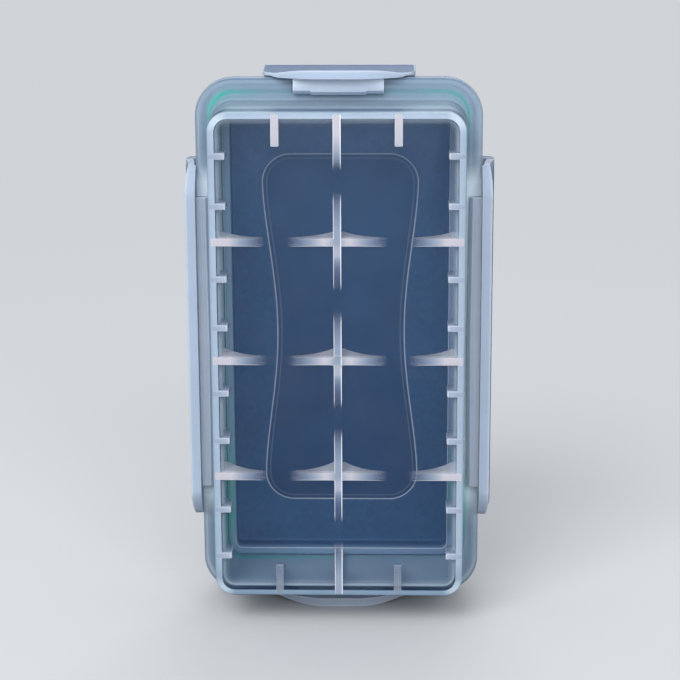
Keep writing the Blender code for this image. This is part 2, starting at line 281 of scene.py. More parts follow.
def soften(points: Array, cuts: Sequence[float], glow: Sequence[float], closed: bool,
           steps: int = 5) -> Array:
    """Round the corners of outlines.

    Each corner with a cut becomes the quadratic curve (1-t)^2 a + 2t(1-t) corner + t^2 b, where a
    and b lie one cut before and after it, and its painted edge light becomes at least 4t(1-t) of
    the glow.

    Args:
        points: outlines of the shape (..., corners, values), whose first two values are lengths
            and whose last five are its skin.
        cuts: how far each corner is cut back.
        glow: how much painted highlight each corner gets.
        closed: whether the last corner joins the first.
        steps: points on each curve.

    Returns:
        The outlines with more points.
    """
    count = points.shape[-2]
    parts = []
    for i in range(count):
        corner = points[..., i, :]
        if cuts[i] <= 0:
            parts.append(corner[..., None, :])
            continue
        ends = []
        for j in (i - 1, i + 1):
            other = points[..., j % count, :] if closed or 0 <= j < count else corner
            span = np.linalg.norm((other - corner)[..., :2], axis=-1, keepdims=True)
            share = np.minimum(cuts[i] / np.maximum(span, TINY), MOST_SHARE)
            ends.append(corner + (other - corner) * share)
        t = np.linspace(0, 1, steps)[:, None]
        curve = ((1 - t) ** 2 * ends[0][..., None, :] + 2 * t * (1 - t) * corner[..., None, :]
                 + t ** 2 * ends[1][..., None, :])
        light = glow[i] * 4 * t[:, 0] * (1 - t[:, 0])
        curve[..., EDGE_AT] = np.maximum(curve[..., EDGE_AT], light)
        parts.append(curve)
    return np.concatenate(parts, axis=-2)


def ring_sheet(rows: Array, ring: bool = False) -> Sheet:
    """Carry a profile along a rounded rectangle, whose long sides may be waisted.

    A point of the path is centre + (radius * cosine, radius * sine) of its angle. Along a straight
    side the angle stays and the centre moves from one corner's to the next. A waist pulls x in by
    waist * ((1 + cos(pi z / straight)) / 2) ^ 0.8.

    Args:
        rows: the profile, as rows of depth, half width, half length, corner radius, waist and
            skin.
        ring: whether the profile closes on itself.

    Returns:
        The sheet.
    """
    angles, centres_x, centres_z = [], [], []
    corners = ((1, 1), (-1, 1), (-1, -1), (1, -1))
    for k, (sx, sz) in enumerate(corners):
        next_x, next_z = corners[(k + 1) % 4]
        steps = END_STEPS if sz == next_z else SIDE_STEPS
        arc = np.radians(90 * k + np.linspace(0, 90, CORNER_STEPS + 1))
        t = np.arange(1, steps) / steps
        angles += [arc, np.full(steps - 1, math.radians(90 * (k + 1)))]
        centres_x += [np.full(arc.size, sx), sx + (next_x - sx) * t]
        centres_z += [np.full(arc.size, sz), sz + (next_z - sz) * t]
    angle, centre_x, centre_z = map(np.concatenate, (angles, centres_x, centres_z))
    depth, half_x, half_z, radius, waist = rows[:, :5].T[:, :, None]
    x = centre_x * (half_x - radius) + radius * np.cos(angle)
    z = centre_z * (half_z - radius) + radius * np.sin(angle)
    x = x - waist * np.cos(angle) * ((1 + np.cos(math.pi * centre_z)) / 2) ** 0.8
    look = np.repeat(rows[:, None, 5:], angle.size, axis=1)
    return Sheet(CASE.place(x, depth, z), look, ring, np.abs(np.sin(2 * angle)))


class Row(NamedTuple):
    """One row of a profile: its rounded rectangle, its skin, and its corner's cut and glow."""

    depth: float
    half_x: float
    half_z: float
    corner: float
    waist: float
    skin: Skin
    cut: float = 0.0
    glow: float = 0.0


def shell_sheet(rows: Sequence[Row]) -> Sheet:
    """Round a profile's corners and carry it along its rounded rectangles.

    Args:
        rows: the profile, which doesn't close on itself.

    Returns:
        The shell, closed by a flat cap at the first row and one at the last.
    """
    profile = np.array([[*row[:5], *row.skin] for row in rows])
    cuts, glow = ([getattr(row, word) for row in rows] for word in ("cut", "glow"))
    return ring_sheet(soften(profile, cuts, glow, closed=False))


def inward(section: Array, amount: float) -> Array:
    """Move a closed section's points in along their normals.

    Args:
        section: points of the shape (count, values), the first two being lengths.
        amount: how far each point moves.

    Returns:
        The smaller section.
    """
    ahead = np.roll(section, -1, axis=0)[:, :2]
    along = ahead - np.roll(section, 1, axis=0)[:, :2]
    normal = np.stack([-along[:, 1], along[:, 0]], axis=1)
    normal /= np.maximum(np.linalg.norm(normal, axis=1, keepdims=True), TINY)
    area = np.sum(section[:, 0] * ahead[:, 1] - ahead[:, 0] * section[:, 1])
    moved = section.copy()
    moved[:, :2] += normal * amount * math.copysign(1, area)
    return moved


def bar_sheet(stations: Array, sections: Array, place: Callable[..., Array],
              end_cut: float = 0.00015, end_glow: float = 1.0) -> Sheet:
    """Carry a closed section along a line and round its two ends.

    The rounding turns through a quarter circle: the section moves in by cut * (1 - cos t) while its
    station moves out by cut * sin t.

    Args:
        stations: positions along the line, rising.
        sections: the section at each, of the shape (stations, count, 7): two lengths and skin. One
            section alone serves for all.
        place: turns a station and the two lengths into points of the frame.
        end_cut: the radius at both ends.
        end_glow: how much painted highlight the ends' edges get.

    Returns:
        The sheet.
    """
    if sections.ndim == 2:
        sections = np.repeat(sections[None], stations.size, axis=0)
    turns = np.radians(np.linspace(0, 90, 5))
    where, what = [], []
    for end, side in ((0, -1), (-1, 1)):
        base = stations[end] - side * end_cut
        extra, levels = [], []
        for turn in turns:
            section = inward(sections[end], end_cut * (1 - math.cos(turn)))
            section[:, EDGE_AT] = np.maximum(section[:, EDGE_AT] * math.cos(turn),
                                             end_glow * math.sin(2 * turn))
            extra.append(section)
            levels.append(base + side * end_cut * math.sin(turn))
        order = slice(None, None, -1) if side < 0 else slice(None)
        where.append(np.array(levels)[order])
        what.append(np.array(extra)[order])
    keep = (stations > where[0][-1]) & (stations < where[1][0])
    line = np.concatenate([where[0], stations[keep], where[1]])
    skin = np.concatenate([what[0], sections[keep], what[1]])
    return Sheet(place(line[:, None], skin[..., 0], skin[..., 1]), skin[..., 2:])


def make_piece(name: str, sheets: Sequence[Sheet],
               material: bpy.types.Material) -> bpy.types.Object:
    """Put sheets into one mesh object.

    Args:
        name: the piece's name.
        sheets: what it is made of.
        material: its finish.

    Returns:
        The object, smooth where it is round, with its skin in its attributes.
    """
    counts = [sheet.places.shape[0] * sheet.places.shape[1] for sheet in sheets]
    starts = np.concatenate([[0], np.cumsum(counts)[:-1]]).tolist()
    points = np.concatenate([sheet.places.reshape(-1, 3) for sheet in sheets])
    look = np.concatenate([sheet.look.reshape(-1, len(Skin._fields)) for sheet in sheets])
    faces = [face for sheet, start in zip(sheets, starts) for face in sheet.faces(start)]
    mesh = bpy.data.meshes.new(name)
    mesh.from_pydata(points.tolist(), [], faces)
    for column, word in enumerate(Skin._fields):
        layer = mesh.attributes.new(word, "FLOAT", "POINT")
        layer.data.foreach_set("value", look[:, column].astype(np.float32))
    bm = bmesh.new()
    bm.from_mesh(mesh)
    bmesh.ops.remove_doubles(bm, verts=bm.verts, dist=MERGE_WITHIN)
    bmesh.ops.recalc_face_normals(bm, faces=bm.faces)
    bm.to_mesh(mesh)
    bm.free()
    mesh.materials.append(material)
    mesh.shade_smooth()
    mesh.set_sharp_from_angle(angle=math.radians(SHARP_ANGLE))
    piece = bpy.data.objects.new(name, mesh)
    bpy.context.scene.collection.objects.link(piece)
    weighted = piece.modifiers.new("even_normals", "WEIGHTED_NORMAL")
    weighted.keep_sharp = True
    return piece


def stand_in(pieces: Sequence[bpy.types.Object], node: str, body: str) -> list[bpy.types.Object]:
    """Let pieces take the place of a CAD node.

    Args:
        pieces: the pieces.
        node: the node that they replace.
        body: the body that they ride on.

    Returns:
        The pieces.
    """
    for piece in pieces:
        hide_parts(node)
        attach(piece, body)
    return list(pieces)


class NodeTree:
    """Builds the nodes of a material or a world with little to write."""

    def __init__(self, owner: bpy.types.Material | bpy.types.World) -> None:
        """Start without nodes.

        Args:
            owner: the material or the world.
        """
        owner.use_nodes = True
        self.owner = owner
        self.tree = owner.node_tree
        self.tree.nodes.clear()

    def add(self, kind: str, values: dict[str, object] | None = None,
            **settings: object) -> bpy.types.Node:
        """Add a node.

        Args:
            kind: the node's type, without its ShaderNode prefix.
            values: what each named input gets, a socket to link or a plain value.
            settings: the node's own properties.

        Returns:
            The node.
        """
        node = self.tree.nodes.new("ShaderNode" + kind)
        for key, value in settings.items():
            setattr(node, key, value)
        for key, value in (values or {}).items():
            self.feed(node.inputs[int(key) if key.isdigit() else key], value)
        return node

    def feed(self, socket: bpy.types.NodeSocket, value: object) -> None:
        """Link or set one input.

        Args:
            socket: the input.
            value: a socket to link, or a plain value.
        """
        if isinstance(value, bpy.types.NodeSocket):
            self.tree.links.new(value, socket)
        else:
            socket.default_value = value

    def math(self, operation: str, *values: object, clamp: bool = False) -> bpy.types.NodeSocket:
        """Add a Math node.

        Args:
            operation: what it does.
            values: its inputs in order.
            clamp: whether the result is kept from 0 to 1.

        Returns:
            Its output.
        """
        named = {str(i): value for i, value in enumerate(values)}
        return self.add("Math", named, operation=operation, use_clamp=clamp).outputs[0]

    def attribute(self, name: str) -> bpy.types.NodeSocket:
        """Read one of the mesh's own attributes as a number."""
        return self.add("Attribute", attribute_name=name).outputs["Fac"]

    def noise(self, scale: float, detail: float = 3.0) -> bpy.types.NodeSocket:
        """Add a noise on object coordinates.

        Args:
            scale: its cells per metre.
            detail: its octaves.

        Returns:
            Its value, about 0.5 on average.
        """
        place = self.add("TexCoord").outputs["Object"]
        return self.add("TexNoise", {"Vector": place, "Scale": scale, "Detail": detail}).outputs[0]

    def colour_mix(self, share: object, first: object, second: object) -> bpy.types.NodeSocket:
        """Mix two colours, by a share that is 0 for the first and 1 for the second."""
        return self.add("Mix", {"0": share, "6": first, "7": second}, data_type="RGBA").outputs[2]

    def shader_mix(self, share: object, first: bpy.types.Node,
                   second: bpy.types.Node) -> bpy.types.Node:
        """Mix two shaders, by a share that is 0 for the first and 1 for the second."""
        return self.add("MixShader", {"0": share, "1": first.outputs[0], "2": second.outputs[0]})

    def seen(self) -> bpy.types.NodeSocket:
        """Tell apart what the camera sees and what only lights the scene.

        Returns:
            1 where the camera looks, straight, in a gloss or through something, and 0 elsewhere.
        """
        path = self.add("LightPath").outputs
        seen = self.math("MAXIMUM", path["Is Camera Ray"], path["Is Glossy Ray"])
        return self.math("MAXIMUM", seen, path["Is Transmission Ray"])

    def ramp(self, value: object, stops: Iterable[tuple[float, Colour]]) -> bpy.types.NodeSocket:
        """Add a colour ramp.

        Args:
            value: what it reads.
            stops: its positions with their colours.

        Returns:
            Its colour.
        """
        stops = list(stops)
        node = self.add("ValToRGB", {"Fac": value})
        elements = node.color_ramp.elements
        while len(elements) < len(stops):
            elements.new(0.5)
        for element, (position, colour) in zip(elements, stops):
            element.position = position
            element.color = (*colour, 1.0)
        return node.outputs["Color"]

    def finish(self, shader: bpy.types.Node) -> bpy.types.Material | bpy.types.World:
        """Link the surface.

        Args:
            shader: what the surface is.

        Returns:
            The finished material or world.
        """
        kind = "OutputWorld" if isinstance(self.owner, bpy.types.World) else "OutputMaterial"
        self.add(kind, {"Surface": shader.outputs[0]})
        return self.owner


# SLATE, put nearly opaque on the lid's inner face, is painted dark for the shade seen through the
# case
SLATE: Colour = (0.002, 0.024, 0.088)
DUSK: Colour = (0.030, 0.085, 0.190)
MIST: Colour = (0.200, 0.290, 0.390)
MILK: Colour = (0.430, 0.520, 0.650)
# the seal's green light through the plastic, painted into its colour as a glow
SEAL_GLOW: Colour = (0.03, 0.47, 0.38)
RAMP_STOPS = (0.0, 0.12, 0.5, 1.0)
PLASTIC_IOR = 1.49


@dataclass(frozen=True)
class MilkyPlastic:
    """See-through plastic, dark and blue where its milk is low and white where it is high."""

    name: str
    thin: Colour
    hazy: Colour
    middle: Colour
    thick: Colour
    # the colour of the painted edge highlights
    lit: Colour = (0.86, 0.90, 0.97)
    lit_alpha: float = 0.92
    roughness: float = 0.34
    frost_rough: float = 0.20
    cloud_scale: float = 180.0
    grain_scale: float = 1500.0
    grain_share: float = 1.6
    cloud_rough: float = 0.15
    mottle: float = 0.09
    bump: float = 0.02
    bump_deep: float = 0.0001
    shine: float = 0.3

    def build(self) -> bpy.types.Material:
        """Make the material.

        Returns:
            A Principled material whose colour and alpha follow the skin, painted light included.
        """
        tree = NodeTree(bpy.data.materials.new(self.name))
        milk, body, edge, frost, seal = (tree.attribute(word) for word in Skin._fields)
        cloud, grain = (tree.math("SUBTRACT", tree.noise(scale), 0.5)
                        for scale in (self.cloud_scale, self.grain_scale))
        height = tree.math("MULTIPLY", grain, frost)
        speck = tree.math("MULTIPLY_ADD", height, self.grain_share, cloud)
        drift = tree.math("MULTIPLY", speck, self.mottle)
        shade = tree.math("ADD", milk, drift, clamp=True)
        colour = tree.ramp(shade, zip(RAMP_STOPS, (self.thin, self.hazy, self.middle, self.thick)))
        # mix in the painted edge highlight, then the seal's painted green glow
        for share, other in ((edge, self.lit), (seal, SEAL_GLOW)):
            colour = tree.colour_mix(share, colour, (*other, 1.0))
        alpha = tree.math("ADD", body, drift)
        # the painted edge highlight also makes the plastic more opaque
        lit = tree.math("MULTIPLY", edge, self.lit_alpha)
        alpha = tree.math("MAXIMUM", alpha, lit, clamp=True)
        rough = tree.math("MULTIPLY_ADD", frost, self.frost_rough, self.roughness)
        rough = tree.math("MULTIPLY_ADD", cloud, self.cloud_rough, rough)
        bump = tree.add("Bump", {"Height": height, "Strength": self.bump,
                                 "Distance": self.bump_deep})
        return tree.finish(tree.add("BsdfPrincipled", {
            "Base Color": colour, "Alpha": alpha, "Roughness": rough,
            "Normal": bump.outputs[0], "IOR": PLASTIC_IOR, "Specular IOR Level": self.shine}))


@dataclass(frozen=True)
class SealRubber:
    """Soft green silicone with a dusty surface."""

    name: str = "seal_rubber"
    base: Colour = (0.020, 0.56, 0.43)
    dusty: Colour = (0.07, 0.68, 0.55)
    shaded: Colour = (0.12, 0.26, 0.36)
    roughness: float = 0.4
    grain_rough: float = 0.2
    bump: float = 0.15
    bump_deep: float = 0.0001

    def build(self) -> bpy.types.Material:
        """Make the material.

        Returns:
            A Principled material, with painted shade where it isn't milky, a cloudy colour and fine
            grain.
        """
        tree = NodeTree(bpy.data.materials.new(self.name))
        cloud, grain = tree.noise(400.0), tree.noise(5000.0, 2.0)
        colour = tree.ramp(cloud, ((0.3, self.base), (0.7, self.dusty)))
        # painted shade: the shaded colour where the milk attribute is low
        colour = tree.colour_mix(tree.attribute("milk"), (*self.shaded, 1.0), colour)
        rough = tree.math("MULTIPLY_ADD", grain, self.grain_rough, self.roughness)
        bump = tree.add("Bump", {"Height": grain, "Strength": self.bump,
                                 "Distance": self.bump_deep})
        return tree.finish(tree.add("BsdfPrincipled", {
            "Base Color": colour, "Roughness": rough, "Normal": bump.outputs[0]}))


SHELL_PLASTIC = MilkyPlastic("shell_plastic", SLATE, DUSK, MIST, MILK, (0.80, 0.92, 1.0))
LID_PLASTIC = MilkyPlastic("lid_plastic", SLATE, DUSK, (0.17, 0.27, 0.45), MILK)
RIB_PLASTIC = MilkyPlastic("rib_plastic", (0.052, 0.080, 0.16), (0.095, 0.13, 0.225),
                           (0.225, 0.285, 0.385), (0.495, 0.485, 0.55), (0.87, 0.88, 0.93))
TAB_PLASTIC = MilkyPlastic("tab_plastic", (0.052, 0.080, 0.16), (0.095, 0.13, 0.225),
                           (0.225, 0.285, 0.385), (0.42, 0.49, 0.63), (0.92, 0.93, 0.97))
LATCH_PLASTIC = MilkyPlastic("latch_plastic", (0.10, 0.15, 0.25), (0.13, 0.19, 0.30),
                             (0.26, 0.34, 0.46), (0.46, 0.55, 0.68), roughness=0.5, shine=0.1)


def seal_spots(x: Array, z: Array) -> Array:
    """Say how strongly the seal's painted green glow gathers at places of the case.

    It is the sum of strength * exp(-(distance / reach)^2) over a few spots.

    Args:
        x: distances across the case.
        z: distances along the case from its centre.

    Returns:
        The strengths, 0 away from the spots.
    """
    spots = np.array([[-0.0193, 0.0400, 0.0028, 1.0], [0.0193, 0.0400, 0.0040, 0.35],
                      [-0.0200, -0.0300, 0.0110, 0.85], [0.0207, -0.0270, 0.0060, 0.50],
                      [-0.0060, -0.0390, 0.0060, 0.15]])
    spot_x, spot_z, reach, strength = spots.T
    away = np.hypot(x[..., None] - spot_x, z[..., None] - spot_z) / reach
    return (strength * np.exp(-away ** 2)).sum(axis=-1)


@dataclass
class Tray:
    """The base tray: its shell, cradle ribs, cell stops, side tabs and gate mark."""

    edge_round: float = 0.0006
    rib_thick: float = 0.0013
    rib_draft: float = 0.022
    rib_cusp: float = 0.0054
    rib_sink: float = 0.00016
    rib_round: float = 0.00018
    rib_split: float = 0.00001
    rib_root: float = 0.8
    rib_least: float = 0.0004
    rib_points: int = 261
    end_rib_out: float = 0.0011
    stop_reach: float = 0.0042
    stop_top_reach: float = 0.0004
    stop_tall: float = 0.0093
    stop_round: float = 0.00020
    stop_glow: float = 0.9
    stop_root: tuple[float, float] = (1.15, 0.94)
    stop_tip: tuple[float, float] = (0.90, 0.88)
    stop_fade: tuple[float, float] = (0.2, 0.15)
    tab_reach: float = 0.00165
    tab_thick: float = 0.0011
    tab_tall: float = 0.0028
    tab_half_spacing: float = 0.0040
    tab_shift: float = 0.0003
    gate_radius: float = 0.0011
    end_trim: float = 0.0002
    corner_light: float = 0.40
    corner_light_deep: float = 0.0020
    band_body: float = 0.83
    foot_deep: float = 0.0050
    foot_shade: float = 0.45
    wing_long: float = 0.0305
    wing_fade: float = 0.0040
    seal_base: float = 0.10
    beside_light: float = 1.0
    beside_body: float = 0.92
    side_dull: float = 0.10
    foot_milk: float = 0.70
    lit_least: float = 0.35
    ring_depth: float = 0.0160
    ring_wide: float = 0.0011
    ring_gain: float = 1.6
    seal_most: float = 0.95
    rib_body: float = 0.94
    rib_side: tuple[float, float] = (0.10, 0.80)
    rib_side_light: float = 0.70
    rib_glow: float = 0.6
    rib_milk: tuple[float, float] = (0.52, 0.72)
    rib_full: float = 0.0034
    rib_fade: float = 0.0004
    root_line: float = 0.00017
    line_fade: float = 0.00035
    cross_width: float = 0.0012

    def wall_row(self, depth: float, inset: float, skin: Skin, *rounding: float,
                 longer: float = 0.0) -> Row:
        """Make a row on the tray's wall, which opens toward the rim by draft * depth.

        Args:
            depth: its depth from the tray's outer face.
            inset: how far it is set in from the wall's outer face.
            skin: how it looks.
            rounding: its corner's cut and glow, where it has them.
            longer: how much further it reaches at both ends.

        Returns:
            The row.
        """
        out = CASE.wall - inset + CASE.draft * depth
        corner = CASE.tray_corner - CASE.wall + out
        return Row(depth, CASE.in_x + out, CASE.in_z + out + longer, corner, 0.0, skin, *rounding)

    def flange_row(self, depth: float, inset: float, skin: Skin, *rounding: float) -> Row:
        """Make a row on the flange, set in from its edge."""
        return Row(depth, CASE.flange_x - inset, CASE.flange_z - inset,
                   CASE.flange_corner - inset, 0.0, skin, *rounding)

    def shell(self) -> Sheet:
        """Carry the tray's profile round: floor, wall, flange, rim and back down inside.

        Returns:
            The closed shell.
        """
        front, back, rim = CASE.flange_front, CASE.flange_back, CASE.tray_depth
        thick, floor = CASE.wall, CASE.floor
        clear = Skin(0.10, 0.16, frost=0.3)
        dim, seam, pale = Skin(0.10, 0.78), Skin(0.54, 0.70), Skin(0.68, 0.68)
        behind = Skin(0.95, 0.62, seal=0.5)
        shade, low, level = Skin(0.36, 0.70), Skin(0.48, 0.72), Skin(0.62, 0.72)
        # painted light on the tray's inner wall, as full edge light
        inside = Skin(0.90, 0.96, edge=1.0, seal=1.0)
        wall, flange = self.wall_row, self.flange_row
        sheet = shell_sheet([
            wall(0, thick + 0.00008, clear, longer=self.end_trim),
            wall(0, thick - 0.00005, Skin(0.95, 0.86), longer=self.end_trim),
            wall(0, 0.0003, Skin(0.85, 0.86)),
            wall(0, 0, Skin(0.60, 0.86), self.edge_round),
            wall(0.0012, 0, Skin(0.40, 0.86)),
            *(wall(depth, 0, skin) for depth, skin in (
                (0.0020, dim), (0.0034, dim), (0.0048, pale), (0.0064, pale), (0.0076, seam),
                (0.0090, pale), (0.0108, pale), (front - 0.0007, seam))),
            wall(front, 0, seam, 0.0003),
            # the seal's painted green glow across part of the flange
            *(flange(front, inset, skin) for inset, skin in (
                (0.0027, level._replace(seal=0.3)), (0.0024, low._replace(seal=1.0)),
                (0.0021, low._replace(seal=0.8)), (0.0017, low._replace(seal=0.1)),
                (0.0012, low), (0.0008, level), (0.0005, level), (0.0003, shade))),
            flange(front, 0, shade, 0.00018, 0.15),
            flange(back, 0, Skin(0.3, 0.45), 0.00022, 0.05),
            flange(back, 0.0006, Skin(0.5, 0.15)),
            wall(back, 0, Skin(0.5, 0.2), 0.0002),
            wall(back + 0.0006, 0, behind),
            wall(rim, 0, behind, 0.0002, 0.1),
            wall(rim, thick, behind, 0.0002, 0.8),
            *(wall(depth, thick, inside) for depth in (
                rim - 0.0010, rim - 0.0022, rim - 0.0036, rim - 0.0054, floor + 0.0035,
                floor + 0.0010)),
            wall(floor, thick, Skin(0.85, 0.8, edge=0.5), 0.00025),
            wall(floor, thick + 0.0009, Skin(0.85, 0.0)),
            wall(floor, thick + 0.0013, clear)])
        self.shade(sheet)
        return sheet

    def shade(self, sheet: Sheet) -> None:
        """Vary the shell's skin along its frame.

        The band's corners get a painted highlight, and the flange along the wings gets painted
        light that lifts the shade of the wings' lips. The band is duller along its sides than at
        its ends. The end that the case stands on gets painted shade, its inner wall loses its
        painted edge light there, and that wall shows the seal's painted green glow in a narrow ring
        near the rim, by exp(-(distance / width)^2).

        Args:
            sheet: the shell.
        """
        x, depth, z = CASE.unplace(sheet.places)
        milk, body, edge, _, seal = np.moveaxis(sheet.look, -1, 0)
        # painted shade toward the end the case stands on
        foot = np.clip((-z - CASE.in_z + self.foot_deep) / self.foot_deep, 0, 1)
        band = body > self.band_body
        # painted highlight in the band's corners, fading with depth
        light = self.corner_light * sheet.bend * np.clip(1 - depth / self.corner_light_deep, 0, 1)
        edge[...] = np.where(band, np.maximum(edge, light), edge)
        dull = self.side_dull * np.clip((CASE.in_z - np.abs(z)) / self.foot_deep, 0, 1)
        milk[...] = np.where(band, milk * (1 - self.foot_shade * foot - dull), milk)
        # painted light on the flange along the wings, lifting the shade of the wings' lips
        flange = (np.abs(depth - CASE.flange_front) < CASE.gap) & ~band
        beside = flange * np.clip((self.wing_long - np.abs(z)) / self.wing_fade, 0, 1)
        edge[...] = np.maximum(edge, self.beside_light * beside)
        body[...] += (self.beside_body - body) * beside
        half = np.abs(x).max(axis=1, keepdims=True)
        inside = (half < CASE.in_x + CASE.draft * depth + CASE.gap / 2) & (depth > CASE.floor)
        inside = inside & (edge > self.lit_least)
        ring = np.exp(-((depth - self.ring_depth) / self.ring_wide) ** 2)
        # the inner wall loses its painted edge light and gets painted shade toward the foot
        edge[...] = np.where(inside, edge * (1 - foot), edge)
        milk[...] = np.where(inside, milk + (self.foot_milk - milk) * foot, milk)
        # the seal's painted green glow, in a narrow ring near the rim at the foot
        weight = seal * np.where(inside, 1 - foot * (1 - self.ring_gain * ring), 1)
        seal[...] = np.clip(weight * (self.seal_base + seal_spots(x, z)), 0, self.seal_most)

    def rib_height(self, along: Array, span: float, cells: int, end_height: float) -> Array:
        """Work out a cradle rib's height over the floor.

        In each cell the height is radius - sink - sqrt(radius^2 - offset^2), cut off at the cusp.

        Args:
            along: positions on the rib.
            span: half the rib's length.
            cells: how many cells lie side by side along it.
            end_height: where the arc is cut off in the outer half of the last cells.

        Returns:
            The heights.
        """
        radius = CASE.pitch / 2
        offset = (along + cells * radius) % CASE.pitch - radius
        offset = np.where(np.abs(along) > cells * radius, radius, offset)
        arc = radius - self.rib_sink - np.sqrt(np.maximum(radius ** 2 - offset ** 2, 0))
        limit = np.where(np.abs(along) > span - radius, end_height, self.rib_cusp)
        return np.minimum(arc, limit)

    def rib_fill(self, height: Array) -> Array:
        """Work out how full a rib is of its milkiest plastic, 0 where it starts to 1 where tall."""
        return np.clip(height / self.rib_full, 0, 1)

    def rib_sheet(self, stations: Array, height: Array, middle: float, root: float, milk: Array,
                  lines: tuple[float, float], place: Callable[..., Array]) -> Sheet:
        """Carry a drafted rib section along a line.

        Args:
            stations: positions along the rib.
            height: its height over the floor at each.
            middle: where the rib's middle plane lies.
            root: the depth of its root in the floor.
            milk: how milky the face toward the floor looks at each.
            lines: how bright the painted highlight lines along its two root edges are.
            place: turns a station, a side distance and a depth into points of the frame.

        Returns:
            The rib, which fades out where it sinks into the floor.
        """
        top = np.maximum(CASE.floor + height, root + self.rib_least)
        low = np.full_like(top, self.rib_thick / 2)
        high = low - self.rib_draft * np.maximum(height, 0)
        fill = self.rib_fill(height)
        shown = np.clip(height / self.line_fade, 0, 1) ** 0.6
        none = np.zeros_like(top)
        deep = none + root
        # painted light on the rib's sides, and painted highlights on its crest
        faint, more = self.rib_side
        body = self.rib_body * (1 - np.exp(-height / self.rib_fade)) * shown
        front = [milk, body, none, none, none]
        side = [none + 1, shown * (faint + more * fill ** 0.6),
                self.rib_side_light * fill ** 0.7, none, none]
        outline = ((-low, deep, front), (-high, top, side), (high, top, side), (low, deep, side),
                   (low - self.rib_split, deep, front))
        corners = np.stack([np.stack([middle + across, level, *skin], axis=-1)
                            for across, level, skin in outline], axis=1)
        foot, crest, glow = self.root_line, self.rib_round, self.rib_glow
        section = soften(corners, [foot, crest, crest, 0, foot],
                         [lines[0], glow, glow, 0, lines[1]], closed=True)
        section[..., EDGE_AT] *= shown[:, None]
        return bar_sheet(stations, section, place, end_cut=0.0001, end_glow=0.0)

    def ribs(self) -> list[Sheet]:
        """Shape the cross ribs and the rib along the middle.

        A cross rib is as milky as its fill ^ 0.85, and half as milky where it crosses the long one.
        The long rib goes by fill ^ 0.5 just above each crossing and by fill ^ 2.4 below it.

        Returns:
            One sheet for each rib.
        """
        sheets = []
        end = CASE.in_x + CASE.wall * self.rib_root
        across = np.linspace(-end, end, self.rib_points)
        height = self.rib_height(across, CASE.in_x, CASE.columns, self.rib_cusp)
        milk = (self.rib_fill(height) ** 0.85
                * (1 - 0.5 * np.exp(-(across / self.cross_width) ** 2)))
        for row in range(1, CASE.rows):
            z = (row - CASE.rows / 2) * CASE.pitch
            sheets.append(self.rib_sheet(
                across, height, z, -self.rib_split, milk, (1.0, 0.0),
                lambda station, side, depth: CASE.place(station, depth, side)))
        end = CASE.in_z + CASE.wall * self.rib_root
        along = np.linspace(-end, end, 2 * self.rib_points - 1)
        full = CASE.plug_front - CASE.gap - CASE.floor
        height = self.rib_height(along, CASE.in_z, CASE.rows, full)
        shoulder = CASE.in_z - self.end_rib_out
        height = np.where(np.abs(along) > shoulder, full, height)
        over = (along + CASE.pitch / 2) % CASE.pitch - CASE.pitch / 2
        above = 1 / (1 + np.exp(-(over + self.cross_width / 2) / (self.cross_width / 6)))
        fill = self.rib_fill(height)
        upper, under = self.rib_milk
        milk = upper * fill ** 0.5 * above + under * fill ** 2.4 * (1 - above)
        last = np.abs(along) > CASE.in_z - CASE.pitch / 2
        # painted shade on the long rib's last cell at the foot
        milk = np.where(last, fill ** 0.5 * np.where(along < 0, 1 - self.foot_shade, 1), milk)
        sheets.append(self.rib_sheet(
            along, height, 0.0, -1.5 * self.rib_split, milk, (1.0, 1.0),
            lambda station, side, depth: CASE.place(side, depth, station)))
        return sheets

    def stop_sheet(self, x: float, side: int) -> Sheet:
        """Shape one end stop, which leans back to the end wall as it rises.

        Its milkiness and body at the wall and at its nose fall by stop_fade toward its top, and the
        stops at the foot get painted shade.

        Args:
            x: its middle across the case.
            side: 1 at the top end and -1 at the bottom.

        Returns:
            The stop.
        """
        depth = np.linspace(-self.rib_split, CASE.floor + self.stop_tall, 24)  # foot to top
        rise = np.clip((depth - CASE.floor) / self.stop_tall, 0, 1)
        reach = self.stop_reach + (self.stop_top_reach - self.stop_reach) * rise
        half = self.rib_thick / 2 - self.rib_draft * np.maximum(depth - CASE.floor, 0)
        sunk = np.where(depth < CASE.floor / 4, self.rib_root, self.rib_root / 2)
        root = CASE.in_z + CASE.wall * sunk
        tip = CASE.in_z - reach
        rest = np.zeros_like(depth)
        # painted shade on the stops at the foot, in their milk, body and highlights
        painted_light_share = 1.0 if side > 0 else 1 - self.foot_shade
        less_milk, less_body = self.stop_fade
        wall, nose = ([side * out + rest, painted_light_share * (milk - less_milk * rise),
                       painted_light_share * (body - less_body * rise), rest, rest, rest]
                      for out, (milk, body) in ((root, self.stop_root), (tip, self.stop_tip)))
        corners = np.stack([np.stack([x + half * way, *end], axis=-1)
                            for way, end in ((-1, wall), (-1, nose), (1, nose), (1, wall))], axis=1)
        cut, glow = self.stop_round, self.stop_glow * painted_light_share
        section = soften(corners, [0, cut, cut, 0], [0, glow, glow, 0], closed=True)
        return bar_sheet(depth, section,
                         lambda station, across, along: CASE.place(across, station, along),
                         end_cut=0.00016, end_glow=painted_light_share ** 2)

    def stops(self) -> list[Sheet]:
        """Shape the stops that hold each column's end cells."""
        places = [(column - (CASE.columns - 1) / 2) * CASE.pitch for column in range(CASE.columns)]
        return [self.stop_sheet(x, side) for x in places for side in (-1, 1)]

